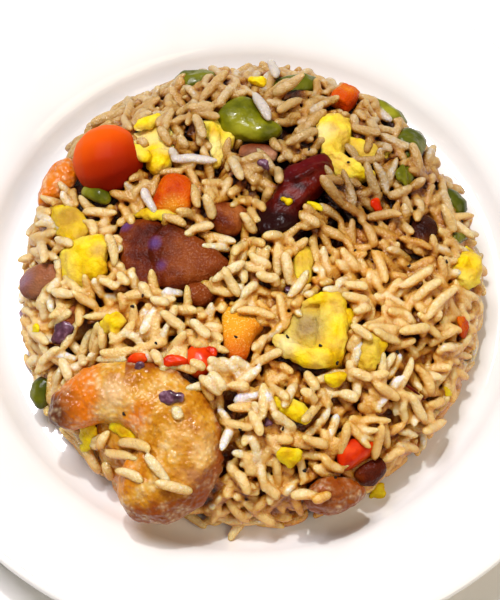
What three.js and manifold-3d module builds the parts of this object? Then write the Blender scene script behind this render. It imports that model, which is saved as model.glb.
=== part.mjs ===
// A heap of fried rice with prawns, roast pork, sausage, egg and vegetables on a plain round plate.
// Millimetres, +Z up. The origin is the middle of the plate's foot ring, on the table, and -Y is the near side.
import * as THREE from "three";
import { mergeVertices } from "three/addons/utils/BufferGeometryUtils.js";
import Module from "manifold-3d";

const wasm = await Module();
wasm.setup();

// ---------- driving dimensions ----------
const PLATE_RADIUS = 92;
const PLATE_HEIGHT = 15;
const WELL_RADIUS = 63; // flat floor of the plate
const WELL_FLOOR = 4; // height of that floor above the table
const FOOT_RADIUS = 38;
const PLATE_SEGMENTS = 36;

const GAP = 0.3; // between the heap and the plate
const CLEARANCE = 0.38; // between pieces that touch, at their corners
const HEAP_RADIUS_X = 57.8;
const HEAP_RADIUS_Y = 61;
const HEAP_HEIGHT = 23.5; // of the bare core, above the plate's floor
const CORE_RINGS = 7;
const CORE_SEGMENTS = 28;

const GRAIN_LENGTH = 8.8; // long-grain rice, cooked
const GRAIN_WIDTH = 2.5;
const GRAIN_SIDES = 5;
const GRAINS = 278; // places tried; a grain that meets a topping is turned, shortened or left out
const STEEP_SHARE = 0.14; // of the grains stand on end

const FINEST = 1e-3; // shorter edges are closed up
const DEGREE = Math.PI / 180;
const UP = new THREE.Vector3(0, 0, 1);
const GOLDEN_ANGLE = Math.PI * (3 - Math.sqrt(5));

// ---------- small helpers ----------
function seededRandom(seed) {
  let state = seed >>> 0;
  return () => {
    state = (state + 0x6d2b79f5) >>> 0;
    let t = Math.imul(state ^ (state >>> 15), 1 | state);
    t = (t + Math.imul(t ^ (t >>> 7), 61 | t)) ^ t;
    return ((t ^ (t >>> 14)) >>> 0) / 4294967296;
  };
}

function solidOf(geometry) {
  const bare = geometry.clone();
  for (const name of ["normal", "uv"]) bare.deleteAttribute(name);
  const merged = mergeVertices(bare, FINEST);
  return new wasm.Manifold(
    new wasm.Mesh({
      numProp: 3,
      vertProperties: merged.attributes.position.array,
      triVerts: new Uint32Array(merged.index.array),
    }),
  );
}

function geometryOf(solid) {
  const { vertProperties, triVerts } = solid.getMesh();
  const geometry = new THREE.BufferGeometry();
  geometry.setAttribute("position", new THREE.BufferAttribute(vertProperties, 3));
  geometry.setIndex(new THREE.BufferAttribute(triVerts, 1));
  geometry.computeVertexNormals();
  return geometry;
}

// The same body, larger all round by a clearance.
function swollen(solid) {
  const geometry = geometryOf(solid);
  const { position, normal } = geometry.attributes;
  for (let k = 0; k < position.count; k++) {
    const point = new THREE.Vector3().fromBufferAttribute(position, k);
    point.addScaledVector(new THREE.Vector3().fromBufferAttribute(normal, k), CLEARANCE);
    position.setXYZ(k, ...point);
  }
  return solidOf(geometry);
}

// The largest body of a solid: what a cut leaves loose is dropped.
function largestBody(solid) {
  return solid.decompose().reduce((a, b) => (b.volume() > a.volume() ? b : a));
}

// Edges too fine to make are closed up, and what that seals is filled, until the solid stays the same.
function settled(solid) {
  const next = largestBody(solidOf(geometryOf(solid)));
  return next.numTri() === solid.numTri() ? next : settled(next);
}

// A closed skin over rings of points, from a first pole through the rings to a last pole.
function skin(firstPole, rings, lastPole) {
  const sides = rings[0].length;
  const points = [firstPole, ...rings.flat(), lastPole];
  const index = [];
  const at = (ring, side) => 1 + ring * sides + (side % sides);
  for (let side = 0; side < sides; side++) {
    index.push(0, at(0, side + 1), at(0, side));
    for (let ring = 0; ring + 1 < rings.length; ring++) {
      index.push(at(ring, side), at(ring, side + 1), at(ring + 1, side));
      index.push(at(ring, side + 1), at(ring + 1, side + 1), at(ring + 1, side));
    }
    index.push(points.length - 1, at(rings.length - 1, side), at(rings.length - 1, side + 1));
  }
  const geometry = new THREE.BufferGeometry().setFromPoints(points);
  geometry.setIndex(index);
  return geometry;
}

// ---------- the plate ----------
// Glazed white, with a flat well, a short cove and a broad rim, on a foot ring.
function plateGeometry() {
  const coveTop = WELL_RADIUS + 6;
  const profile = [
    [0, 1.4],
    [FOOT_RADIUS - 2, 1.4],
    [FOOT_RADIUS - 1.5, 0],
    [FOOT_RADIUS + 1.5, 0],
    [WELL_RADIUS - 1, 1.9],
    [coveTop, 6],
    [PLATE_RADIUS - 0.8, PLATE_HEIGHT - 3.2],
    [PLATE_RADIUS, PLATE_HEIGHT - 1.6],
    [PLATE_RADIUS - 1, PLATE_HEIGHT],
    [coveTop, 9.2],
    [WELL_RADIUS + 2.5, 5.4],
    [WELL_RADIUS, WELL_FLOOR],
    [0, WELL_FLOOR],
  ];
  const lathe = new THREE.LatheGeometry(
    profile.map(([r, z]) => new THREE.Vector2(r, z)),
    PLATE_SEGMENTS,
  );
  return lathe.rotateX(Math.PI / 2);
}

// ---------- the heap's bare core ----------
// A low mound with a broad top, steep at its edge, with the clumps and hollows of spooned rice.
function heapReach(angle) {
  const wobble = 0.006 * Math.sin(3 * angle + 1) + 0.006 * Math.sin(5 * angle + 2.2);
  const round = 1 / Math.hypot(Math.cos(angle) / HEAP_RADIUS_X, Math.sin(angle) / HEAP_RADIUS_Y);
  return round * (1 + wobble);
}

function clumps(x, y) {
  return (
    1.1 * Math.sin(x / 8.5 + 1) * Math.cos(y / 7.5 - 0.6) +
    0.7 * Math.sin((x + y) / 6.2 + 2) +
    0.5 * Math.cos((x - 1.4 * y) / 5.1)
  );
}

function heapSurface(x, y) {
  const share = Math.min(1, Math.hypot(x, y) / heapReach(Math.atan2(y, x)));
  const dome = Math.sqrt(1 - share ** 4);
  return WELL_FLOOR + GAP + dome * (HEAP_HEIGHT + clumps(x, y) * Math.min(1, 2 * dome));
}

function heapNormal(x, y) {
  const step = 1.5;
  const slopeX = (heapSurface(x + step, y) - heapSurface(x - step, y)) / (2 * step);
  const slopeY = (heapSurface(x, y + step) - heapSurface(x, y - step)) / (2 * step);
  return new THREE.Vector3(-slopeX, -slopeY, 1).normalize();
}

function coreGeometry() {
  const rings = [];
  for (let ring = 1; ring <= CORE_RINGS; ring++) {
    const share = Math.sin((Math.PI / 2) * (ring / CORE_RINGS)) ** 0.8;
    rings.push(
      Array.from({ length: CORE_SEGMENTS }, (_, k) => {
        const angle = (-2 * Math.PI * k) / CORE_SEGMENTS;
        const r = share * heapReach(angle);
        const x = r * Math.cos(angle);
        const y = r * Math.sin(angle);
        return new THREE.Vector3(x, y, ring === CORE_RINGS ? WELL_FLOOR + GAP : heapSurface(x, y));
      }),
    );
  }
  const top = new THREE.Vector3(0, 0, heapSurface(0, 0));
  return skin(top, rings, new THREE.Vector3(0, 0, WELL_FLOOR + GAP));
}

// ---------- lumps, grains and prawns ----------
// A wavy value from -1 to 1 round a lump, different for each seed.
function dent(t, angle, seed) {
  return (
    0.5 * Math.sin(2 * angle + 5 * t + 1.7 * seed) +
    0.3 * Math.sin(3 * angle - 9 * t + 2.9 * seed) +
    0.2 * Math.cos(angle + 13 * t + 4.1 * seed)
  );
}

// An oval section swept along an arc. bend curls it in its own plane, arch curves its ends down.
// blunt squares off its ends and boxy its section; dents make it uneven.
function lumpGeometry(shape) {
  const { blunt = 2.3, boxy = 2, bend = 0, arch = 0, dents = 0, sides = 7, rings = 4, seed = 0 } = shape;
  const [length, width, height] = shape.size;
  const section = (t) => {
    const curl = (t - 0.5) * (bend || arch);
    const radius = length / (bend || arch || 1);
    const along = new THREE.Vector3((t - 0.5) * length, 0, 0);
    const across = new THREE.Vector3(0, 1, 0);
    const up = UP.clone();
    if (bend) {
      along.set(radius * Math.sin(curl), radius * (1 - Math.cos(curl)), 0);
      across.set(-Math.sin(curl), Math.cos(curl), 0);
    } else if (arch) {
      along.set(radius * Math.sin(curl), 0, radius * (Math.cos(curl) - 1));
      up.set(Math.sin(curl), 0, Math.cos(curl));
    }
    return { along, across, up };
  };
  const power = (value) => Math.sign(value) * Math.abs(value) ** (2 / boxy);
  const made = [];
  for (let ring = 1; ring <= rings; ring++) {
    const t = (1 - Math.cos((Math.PI * (ring - 0.35)) / (rings + 0.3))) / 2;
    const girth = (1 - Math.abs(2 * t - 1) ** blunt) ** (1 / blunt);
    const { along, across, up } = section(t);
    made.push(
      Array.from({ length: sides }, (_, side) => {
        const angle = (2 * Math.PI * side) / sides;
        const size = girth * (1 + dents * dent(t, angle, seed));
        return along
          .clone()
          .addScaledVector(across, (width / 2) * size * power(Math.cos(angle)))
          .addScaledVector(up, (height / 2) * size * power(Math.sin(angle)));
      }),
    );
  }
  return skin(section(0).along, made, section(1).along);
}

// A cooked grain: long, slightly bent and round at the ends.
function grainGeometry(length, width, bend) {
  const size = [length, width, 0.86 * width];
  return lumpGeometry({ size, bend, blunt: 2.6, sides: GRAIN_SIDES, rings: 2 });
}

// A peeled prawn curled on its side: it tapers to the tail in overlapping segments, with a ridge down its back.
// The curl opens out towards the tail and tightens over the first half, towards the head.
function prawnGeometry(curl) {
  const { sweep, width, height, tailShare, headShare, segments, sides } = curl;
  const perSegment = 2;
  const rings = segments * perSegment;
  const made = [];
  const head = (t) => Math.max(0, 1 - 2.2 * t) ** 2;
  const centre = (t) => {
    const radius = curl.radius - curl.headIn * head(t) + curl.tailOut * t ** 4;
    const turn = (t - 0.5) * sweep;
    return new THREE.Vector3(radius * Math.cos(turn), radius * Math.sin(turn), 0);
  };
  for (let ring = 0; ring < rings; ring++) {
    const t = (ring + 0.5) / rings;
    const turn = (t - 0.5) * sweep;
    const step = (ring % perSegment) / perSegment;
    const segmentSwell = 1.05 - 0.11 * step;
    const ends = Math.min(1, Math.sqrt(t * 9), Math.sqrt((1 - t) * 12) + 0.1);
    const taper = (1 - (1 - tailShare) * t ** 3) * (1 - (1 - headShare) * head(t));
    const size = taper * segmentSwell * ends;
    const outward = new THREE.Vector3(Math.cos(turn), Math.sin(turn), 0);
    made.push(
      Array.from({ length: sides }, (_, side) => {
        const angle = (-2 * Math.PI * side) / sides;
        const back = 1 + 0.16 * Math.max(0, Math.cos(angle)) ** 3;
        return centre(t)
          .addScaledVector(outward, (width / 2) * size * back * Math.cos(angle))
          .addScaledVector(UP, (height / 2) * size * Math.sin(angle));
      }),
    );
  }
  const reach = 0.35 / rings;
  return skin(centre(reach), made, centre(1 - reach));
}

// ---------- placing ----------
// A place on the heap's ideal surface, with the way up there: 0 is plumb, 1 square to the slope.
function spotOnHeap(x, y, tilt) {
  const up = UP.clone().lerp(heapNormal(x, y), tilt).normalize();
  return { point: new THREE.Vector3(x, y, heapSurface(x, y)), up };
}

// The same on the core's own facets, which lie a little lower.
function spotOnCore(x, y) {
  const { point, up } = spotOnHeap(x, y, 1);
  const above = point.clone().addScaledVector(up, 10);
  const [hit] = new THREE.Raycaster(above, up.clone().negate()).intersectObject(coreMesh);
  return { point: hit.point, up };
}

// Stands a piece at a spot: turned by yaw and pitch, its middle lifted off the surface.
function placedSolid(solid, { point, up }, { yaw = 0, pitch = 0, lift = 0 }) {
  const slope = new THREE.Quaternion().setFromUnitVectors(UP, up);
  const turn = new THREE.Quaternion().setFromEuler(new THREE.Euler(0, DEGREE * pitch, DEGREE * yaw, "ZYX"));
  const middle = point.clone().addScaledVector(up, lift);
  const matrix = new THREE.Matrix4().compose(middle, slope.multiply(turn), new THREE.Vector3(1, 1, 1));
  return solidOf(geometryOf(solid).applyMatrix4(matrix));
}

// A topping is one or more lumps joined.
function lumpsSolid(lumps) {
  const made = lumps.map(({ offset = [0, 0, 0], turn = 0, ...shape }) => {
    const geometry = lumpGeometry(shape).rotateZ(DEGREE * turn);
    return solidOf(geometry.translate(...offset));
  });
  return made.reduce((a, b) => a.add(b));
}

// ---------- the toppings ----------
// What each kind is like: its colour and gloss, how blunt its ends, boxy its section and dented its skin.
const KINDS = {
  plate: { color: 0xf4f3ef, roughness: 0.2 },
  rice: { color: 0xd9b988, roughness: 0.6 },
  pork: { color: 0x6b2412, roughness: 0.35, blunt: 3, dents: 0.1 },
  sausage: { color: 0x541018, roughness: 0.3, blunt: 7, boxy: 2.4, dents: 0.05, sides: 10, rings: 6 },
  egg: { color: 0xf2c81e, roughness: 0.5, blunt: 2.5, dents: 0.15 },
  tomato: { color: 0xc83a08, roughness: 0.2, blunt: 2, dents: 0.02, sides: 12, rings: 7 },
  pepper: { color: 0x7f9416, roughness: 0.25, blunt: 3, boxy: 2.3, dents: 0.09, arch: 0.6 },
  carrot: { color: 0xf07818, roughness: 0.4, blunt: 5, boxy: 4, dents: 0.06 },
  redpepper: { color: 0xd93a12, roughness: 0.3, blunt: 3.6, boxy: 3, dents: 0.08 },
  prawn: { color: 0xd98a35, roughness: 0.35 },
};

// The toppings, kind by kind. at is the place on the heap, yaw the turn of the length from +X, in degrees,
// and size the length, width and height. lumps lists the parts of a piece that has more than one.
const TOPPINGS = {
  pork: [
    {
      at: [-18.5, -0.5],
      lift: 1.6,
      lumps: [
        { size: [18, 14.5, 12], offset: [4.6, -0.6, 0.6], turn: -14, rings: 5 },
        { size: [15, 11.5, 10], offset: [-7, 0.8, 0], turn: 84 },
      ],
    },
    { at: [-5.3, 8.7], yaw: 20, lift: 1, size: [9.5, 8.5, 8] },
    { at: [-50, -3.5], yaw: 12, lift: 1, size: [11.5, 9, 7.5] },
    { at: [-42.5, -13.5], yaw: 60, lift: 0.4, size: [7, 5.5, 5.5] },
    { at: [28.2, -49.3], yaw: 35, lift: 0.6, size: [8, 6.5, 5.5] },
    { at: [42, 8], yaw: 70, lift: 0.2, size: [8.5, 7, 5] },
    { at: [-9.5, -11.5], yaw: -10, lift: 0.7, size: [8, 5.5, 5.5], dents: 0.2 },
    { at: [2, 27.5], yaw: -8, lift: 0.4, size: [10, 5.5, 5] },
  ],
  sausage: [{ at: [11.8, 14.2], yaw: 47, lift: 2.2, size: [22, 9, 9], bend: 0.35 }],
  egg: [
    {
      at: [21.5, 29.5],
      yaw: 78,
      lift: 2.6,
      lumps: [
        { size: [11, 10.5, 9], offset: [3.2, 0.6, 0.6] },
        { size: [14.5, 6.4, 6.5], bend: 1.5, offset: [-2.8, -3.8, 0.3], turn: 138 },
      ],
    },
    { at: [32, 28.2], yaw: -25, lift: 1.4, size: [8.5, 4.4, 5], bend: 0.5 },
    {
      at: [14.5, -21.5],
      lift: 2.4,
      lumps: [
        { size: [31, 7, 9], bend: 3.5, offset: [2.5, -3.5, 0.4], turn: 35, rings: 8 },
        { size: [13, 12, 3.5], offset: [-1, 1, -0.5] },
      ],
    },
    { at: [-40, -1.5], yaw: 25, lift: 2.6, size: [11.5, 11, 9.5], blunt: 3, boxy: 2.6 },
    { at: [-45.2, 11], yaw: -35, lift: 1.4, size: [11, 9, 7.5] },
    { at: [-25.3, 28.3], yaw: -12, lift: 2, size: [15.5, 9.5, 5.5], dents: 0.24, sides: 9, rings: 6 },
    { at: [-7.2, 32], yaw: 70, lift: 0.9, size: [11, 7.5, 5.5], dents: 0.22 },
    { at: [12.9, -2.2], yaw: 78, lift: 1.2, size: [8.5, 5, 5.5] },
    { at: [28, -24], yaw: 76, lift: 1.1, size: [11, 7.5, 6], dents: 0.2 },
    { at: [51.8, -0.8], yaw: 60, lift: 1.6, size: [10, 8.5, 8], blunt: 2.8 },
    { at: [-32, -19.5], yaw: 55, lift: 1, size: [9.5, 7.5, 6.5], dents: 0.24 },
    { at: [9.7, -38.5], yaw: -32, lift: 1, size: [10, 4.5, 4.5] },
    { at: [-23.5, 10.8], yaw: -8, lift: 0.8, size: [13, 3.6, 4], bend: 0.4 },
  ],
  tomato: [{ at: [-33.8, 25.3], lift: 2.6, size: [17.5, 17.5, 16] }],
  pepper: [
    { at: [0, 37.3], yaw: -22, lift: 1.6, size: [16, 11.5, 6], arch: 1.3, boxy: 2.6, rings: 6 },
    { at: [-13.8, 51.4], yaw: 5, lift: 1.2, size: [11, 6.5, 5] },
    { at: [11, 48.6], yaw: 18, lift: 1.2, size: [14, 6, 5] },
    { at: [39.4, 32.4], yaw: 62, lift: 1.4, size: [11.5, 8.5, 5.5], arch: 0.9 },
    { at: [37.5, 22.4], yaw: 75, lift: 0.9, size: [8, 4.5, 4.5] },
    { at: [34.8, 44.3], yaw: -40, lift: 1, size: [11, 5.5, 4.5] },
    { at: [50.3, 19], yaw: -50, lift: 0.8, size: [7.5, 5.5, 5] },
    { at: [-37, 16.8], yaw: -12, lift: 0.6, size: [8.5, 4.6, 4.5] },
    { at: [-49.5, -28.8], yaw: 60, lift: 0.9, size: [8, 6, 5] },
  ],
  carrot: [
    { at: [-18.3, 14.8], yaw: 68, lift: 1.9, size: [8.5, 6.4, 6.5] },
    { at: [23.3, 44.5], yaw: 60, lift: 1.5, size: [7, 6, 6] },
    { at: [-2.8, -20], yaw: 62, lift: 1.3, size: [11, 8, 6.5], blunt: 3.4, boxy: 3, dents: 0.1 },
  ],
  redpepper: [
    { at: [-11.7, -26.9], yaw: 80, lift: 1, size: [7, 5.2, 5] },
    { at: [25, -46.8], yaw: 8, lift: 1.2, size: [9, 5.5, 4.6] },
  ],
};

// Prawns: at is the middle of the curl, and yaw the way its back is turned.
const CURL = {
  radius: 10.5,
  headIn: 6,
  tailOut: 8,
  sweep: 5,
  width: 20,
  height: 13,
  headShare: 0.5,
  tailShare: 0.42,
  segments: 11,
  sides: 8,
};
const SMALL_CURL = {
  radius: 6.5,
  headIn: 0,
  tailOut: 2,
  sweep: 1.8,
  width: 9,
  height: 8,
  headShare: 0.9,
  tailShare: 0.6,
  segments: 4,
  sides: 7,
};
const PRAWNS = [
  { at: [-27.3, -46], yaw: 21, lift: 3.2, tilt: 0.55, curl: CURL },
  { at: [-42, 20.5], yaw: 150, lift: 0.6, tilt: 0.9, curl: SMALL_CURL },
  { at: [18.2, -49.5], yaw: -78, lift: 0.8, tilt: 0.9, curl: SMALL_CURL },
];

// ---------- building ----------
function meshOf(name, kind, solid) {
  const { color, roughness } = KINDS[kind];
  const material = new THREE.MeshStandardMaterial({ color, roughness, metalness: 0 });
  const mesh = new THREE.Mesh(geometryOf(solid), material);
  mesh.name = name;
  return mesh;
}

const core = solidOf(coreGeometry());
const coreMesh = new THREE.Mesh(coreGeometry());
const coreClear = swollen(core);

// Each topping lies on the core, and a later one is cut back where it meets an earlier one.
const toppings = [];
function addTopping(name, kind, shape, { at, tilt = 0.7, ...pose }) {
  const whole = placedSolid(shape, spotOnHeap(...at, tilt), pose);
  const others = [coreClear, ...toppings.map(({ clear }) => clear)];
  const solid = others.reduce((left, other) => left.subtract(other), whole);
  toppings.push({ name, kind, solid: settled(solid), clear: swollen(whole) });
}

for (const [kind, pieces] of Object.entries(TOPPINGS)) {
  pieces.forEach(({ at, yaw, lift, lumps, ...shape }, k) => {
    const name = pieces.length > 1 ? `${kind}_${k + 1}` : kind;
    const parts = (lumps ?? [shape]).map((lump, n) => ({ ...KINDS[kind], seed: 3 * k + n, ...lump }));
    addTopping(name, kind, lumpsSolid(parts), { at, yaw, lift });
  });
}
PRAWNS.forEach(({ curl, ...where }, k) => {
  addTopping(`prawn_${k + 1}`, "prawn", solidOf(prawnGeometry(curl)), where);
});

// Grains lie over the whole core by the rule of a sunflower's seeds, evenly for its area.
const random = seededRandom(17);
const areaTo = [0];
const STEPS = 200;
for (let k = 1; k <= STEPS; k++) {
  const share = (k - 0.5) / STEPS;
  const fall = (2 * HEAP_HEIGHT * share ** 3) / (HEAP_RADIUS_X * Math.sqrt(1 - share ** 4));
  areaTo.push(areaTo[k - 1] + share * Math.hypot(1, fall));
}

function shareAt(part) {
  const wanted = part * areaTo[STEPS];
  return areaTo.findIndex((area) => area >= wanted) / STEPS;
}

const toppingsTogether = toppings.map(({ solid }) => solid).reduce((a, b) => a.add(b));
const plateSolid = solidOf(plateGeometry());
const obstacles = toppingsTogether.add(plateSolid);
const grains = [];
for (let k = 0; k < GRAINS; k++) {
  const angle = k * GOLDEN_ANGLE;
  const r = Math.min(0.99, shareAt((k + 0.5) / GRAINS)) * heapReach(angle);
  const spot = spotOnCore(r * Math.cos(angle), r * Math.sin(angle));
  for (const shorter of [1, 0.85, 0.7]) {
    const pose = {
      yaw: 360 * random(),
      pitch: random() < STEEP_SHARE ? 35 + 20 * random() : 20 * (random() - 0.5),
      lift: 0.45 + 0.25 * random(),
    };
    const length = shorter * GRAIN_LENGTH * (0.88 + 0.26 * random());
    const bend = 0.02 + 0.5 * random();
    const grain = placedSolid(solidOf(grainGeometry(length, GRAIN_WIDTH, bend)), spot, pose);
    if (swollen(grain).intersect(obstacles).isEmpty()) {
      grains.push(grain);
      break;
    }
  }
}
const heap = settled([core, ...grains].reduce((a, b) => a.add(b)));

const dish = new THREE.Group();
dish.add(meshOf("plate", "plate", plateSolid));
dish.add(meshOf("rice", "rice", heap));
for (const { name, kind, solid } of toppings) dish.add(meshOf(name, kind, solid));

export default dish;
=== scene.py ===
# Fried rice heaped on a plain white plate, with prawns, roast pork, sausage, egg and vegetables.
import math

import bpy
import numpy as np
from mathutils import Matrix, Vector
from mathutils.bvhtree import BVHTree
from mathutils.kdtree import KDTree


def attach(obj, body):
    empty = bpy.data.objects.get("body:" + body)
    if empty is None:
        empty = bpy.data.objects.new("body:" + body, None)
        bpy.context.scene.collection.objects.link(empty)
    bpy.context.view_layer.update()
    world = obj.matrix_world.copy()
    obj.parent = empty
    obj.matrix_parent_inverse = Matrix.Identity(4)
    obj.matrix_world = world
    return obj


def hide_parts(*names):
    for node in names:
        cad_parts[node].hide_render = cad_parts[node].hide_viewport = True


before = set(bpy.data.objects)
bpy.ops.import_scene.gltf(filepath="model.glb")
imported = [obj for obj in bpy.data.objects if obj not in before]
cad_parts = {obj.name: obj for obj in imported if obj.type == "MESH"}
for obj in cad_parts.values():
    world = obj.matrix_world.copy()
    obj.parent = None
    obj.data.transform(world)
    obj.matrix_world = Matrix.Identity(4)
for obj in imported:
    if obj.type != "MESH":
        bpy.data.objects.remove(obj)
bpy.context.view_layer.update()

scene = bpy.context.scene
MM = 0.001


# ---------- the view, the table and the light ----------
# The plate stands on a pale painted table. It is seen steeply from above, from the diner's side,
# and lit by a large soft window behind it to the left.
def linear(colour):
    """The linear colour of an sRGB hex value."""
    parts = [int(colour[k : k + 2], 16) / 255 for k in (1, 3, 5)]
    return (*(c / 12.92 if c <= 0.04045 else ((c + 0.055) / 1.055) ** 2.4 for c in parts), 1.0)


def add_node(material, kind, inputs=None, stops=None, **settings):
    """Adds a node. inputs gives sockets a value or the socket that feeds them, stops a ramp's colours."""
    tree = material.node_tree
    node = tree.nodes.new("ShaderNode" + kind)
    for key, value in settings.items():
        setattr(node, key, value)
    for key, value in (inputs or {}).items():
        if isinstance(value, bpy.types.NodeSocket):
            tree.links.new(value, node.inputs[key])
        else:
            node.inputs[key].default_value = value
    if stops:
        elements = node.color_ramp.elements
        while len(elements) < len(stops):
            elements.new(1.0)
        for element, (place, colour) in zip(elements, stops):
            element.position = place
            element.color = linear(colour)
    return node


def mesh_object(name, points, faces, material):
    """A smooth object from points in mm."""
    mesh = bpy.data.meshes.new(name)
    corners = faces.tolist() if isinstance(faces, np.ndarray) else faces
    mesh.from_pydata((np.asarray(points) * MM).tolist(), [], corners)
    mesh.shade_smooth()
    mesh.materials.append(material)
    thing = bpy.data.objects.new(name, mesh)
    scene.collection.objects.link(thing)
    return thing


def new_material(name):
    material = bpy.data.materials.new(name)
    material.use_nodes = True
    material.node_tree.nodes.clear()
    return material


def shade(material, **inputs):
    """Ends a material in one Principled shader, its subsurface radius given in metres."""
    shader = add_node(material, "BsdfPrincipled", {"Subsurface Scale": 1.0, **inputs})
    add_node(material, "OutputMaterial", {"Surface": shader.outputs[0]})
    return material


view_height = math.radians(68)
view_distance = 0.45
looked_at = Vector((0, -0.0025, 0.0058))
camera = bpy.data.objects.new("camera", bpy.data.cameras.new("camera"))
camera.data.lens = 108
camera.data.sensor_width = 36
camera.location = looked_at + view_distance * Vector((0, -math.cos(view_height), math.sin(view_height)))
camera.rotation_euler = (math.pi / 2 - view_height, 0, 0)
scene.collection.objects.link(camera)
scene.camera = camera
scene.view_settings.view_transform = "Standard"

# Matt wall paint: no reflections, only a faint unevenness of tone in broad brush marks.
table_paint = new_material("matt_table_paint")
table_side, brush_marks = 3000, 75
brushed = add_node(table_paint, "TexNoise", {"Scale": table_side / brush_marks, "Detail": 3.0})
tint = add_node(table_paint, "ValToRGB", {0: brushed.outputs[0]}, stops=[(0.3, "#F1F0ED"), (0.7, "#F7F6F3")])
shade(table_paint, **{"Base Color": tint.outputs[0], "Roughness": 0.55})
table_corners = [(x * table_side / 2, y * table_side / 2, 0) for x, y in ((-1, -1), (1, -1), (1, 1), (-1, 1))]
table = mesh_object("table", table_corners, [(0, 1, 2, 3)], table_paint)


def lamp(name, place, size, power, colour):
    """A square softbox that faces the plate."""
    light = bpy.data.lights.new(name, "AREA")
    light.shape = "SQUARE"
    light.size = size
    light.energy = power
    light.color = linear(colour)[:3]
    holder = bpy.data.objects.new(name, light)
    holder.location = place
    holder.rotation_euler = Vector(place).to_track_quat("Z", "Y").to_euler()
    scene.collection.objects.link(holder)


lamp("window", (-0.27, 0.27, 0.92), 0.36, 6.2, "#F8F5FF")
lamp("bulb", (-0.10, 0.30, 0.95), 0.04, 3.6, "#FFFFFF")
lamp("room", (0.5, -0.35, 0.78), 0.6, 2.7, "#FFE6C0")
scene.world = bpy.data.worlds.new("room")
scene.world.use_nodes = True
scene.world.node_tree.nodes["Background"].inputs[0].default_value = linear("#F4F1EC")
scene.world.node_tree.nodes["Background"].inputs[1].default_value = 0.27


# ---------- the plate ----------
# Porcelain, pressed and glazed: a flat well, a short cove and a broad rim on a foot ring.
# The glaze is white, glossy and very slightly uneven; the foot ring is left bare.
plate_profile = [  # radius and height, from under the middle out round the edge and back
    (0, 1.4), (30, 1.4), (36, 1.4), (36.6, 0.0), (39.4, 0.0), (42, 0.45), (62, 1.9), (69, 6), (91, 11.8),
    (92, 13.4), (91.2, 14.9), (88, 14.1), (69, 9.2), (65.5, 5.4), (63, 4.05), (60, 4.0), (30, 4.0), (0, 4.0),
]


def rounded(profile, rounds):
    """The profile with its corners cut, twice as fine each round."""
    line = np.array(profile, float)
    for _ in range(rounds):
        early = 0.75 * line[:-1] + 0.25 * line[1:]
        late = 0.25 * line[:-1] + 0.75 * line[1:]
        line = np.vstack([line[:1], np.stack([early, late], 1).reshape(-1, line.shape[1]), line[-1:]])
    return line


def capped(rings, first, last):
    """Points and faces of a closed skin over rings of points, with one point more at each end."""
    count, sides = rings.shape[:2]
    points = np.vstack([rings.reshape(-1, 3), [first], [last]])
    faces = []
    for k in range(sides):
        n = (k + 1) % sides
        for r in range(0, (count - 1) * sides, sides):
            faces.append((r + k, r + n, r + sides + n, r + sides + k))
        faces.append((count * sides, n, k))
        faces.append((count * sides + 1, (count - 1) * sides + k, (count - 1) * sides + n))
    return points, faces


def turned(profile, steps):
    """Points and faces of a profile turned round Z, its two ends on the axis."""
    angles = np.arange(steps) * 2 * math.pi / steps
    radius, height = profile[1:-1, :1], profile[1:-1, 1:]
    rings = np.stack([radius * np.cos(angles), radius * np.sin(angles), height + 0 * angles], -1)
    return capped(rings, (0, 0, profile[0][1]), (0, 0, profile[-1][1]))


def scale_of(size):
    """The scale of a pattern whose marks are that many mm across."""
    return 1 / (size * MM)


# Fired porcelain under a clear glaze: near white, mirror-like but softly wavy, and chalky on the foot.
porcelain = new_material("glazed_porcelain")
where = add_node(porcelain, "TexCoord").outputs["Object"]
height = add_node(porcelain, "SeparateXYZ", {0: where})
bare_foot = add_node(porcelain, "MapRange", {0: height.outputs["Z"], 1: 0.0001, 2: 0.0004, 3: 0.7, 4: 0.09})
pooled = add_node(porcelain, "TexNoise", {"Vector": where, "Scale": scale_of(16.7), "Detail": 2.0})
glaze = add_node(porcelain, "ValToRGB", {0: pooled.outputs[0]}, stops=[(0.3, "#F3F2EE"), (0.7, "#F8F7F4")])
orange_peel = add_node(porcelain, "TexNoise", {"Vector": where, "Scale": scale_of(2.86), "Detail": 1.0})
waves = add_node(porcelain, "Bump", {"Height": orange_peel.outputs[0], "Strength": 0.05, "Distance": 0.0002})
shade(porcelain, **{
    "Base Color": glaze.outputs[0], "Roughness": bare_foot.outputs[0], "IOR": 1.52,
    "Normal": waves.outputs[0], "Coat Weight": 0.3, "Coat Roughness": 0.04,
})
plate = mesh_object("porcelain_plate", *turned(rounded(plate_profile, 2), 144), porcelain)
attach(plate, "root")
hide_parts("plate")


# ---------- roast pork ----------
# Chunks of roast belly, cut by hand and tossed in a sticky dark sauce, that lie half sunk in the heap
# of rice. The sauce sets to a glossy red-brown skin over coarse meat fibre.
reach_x, reach_y, heap_height, floor = 57.8, 61.0, 23.5, 4.3  # of the bare heap, before its last grains
rice_level = 1.4  # of the last grains over the bare heap
lattice = np.random.default_rng(5).uniform(-1, 1, (32, 32, 32))


def heap_reach(angle, inset=0.0):
    """How far the heap's foot is from the middle of the plate."""
    waves = 1 + 0.006 * np.sin(3 * angle + 1) + 0.006 * np.sin(5 * angle + 2.2)
    return waves / np.hypot(np.cos(angle) / reach_x, np.sin(angle) / reach_y) - 0.6 * inset


def heap_top(x, y, inset=0.0):
    """The height of the heap at a place, and how far out that is, from 0 to 1. With an inset it is the same
    heap, smaller all round by that many mm."""
    share = np.minimum(1, np.hypot(x, y) / heap_reach(np.arctan2(y, x), inset))
    clumps = (1.1 * np.sin(x / 8.5 + 1) * np.cos(y / 7.5 - 0.6) + 0.7 * np.sin((x + y) / 6.2 + 2)
              + 0.5 * np.cos((x - 1.4 * y) / 5.1))
    dome = np.sqrt(1 - share**4)
    return floor + dome * (heap_height - inset + clumps * np.minimum(1, 2 * dome)), share


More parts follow.
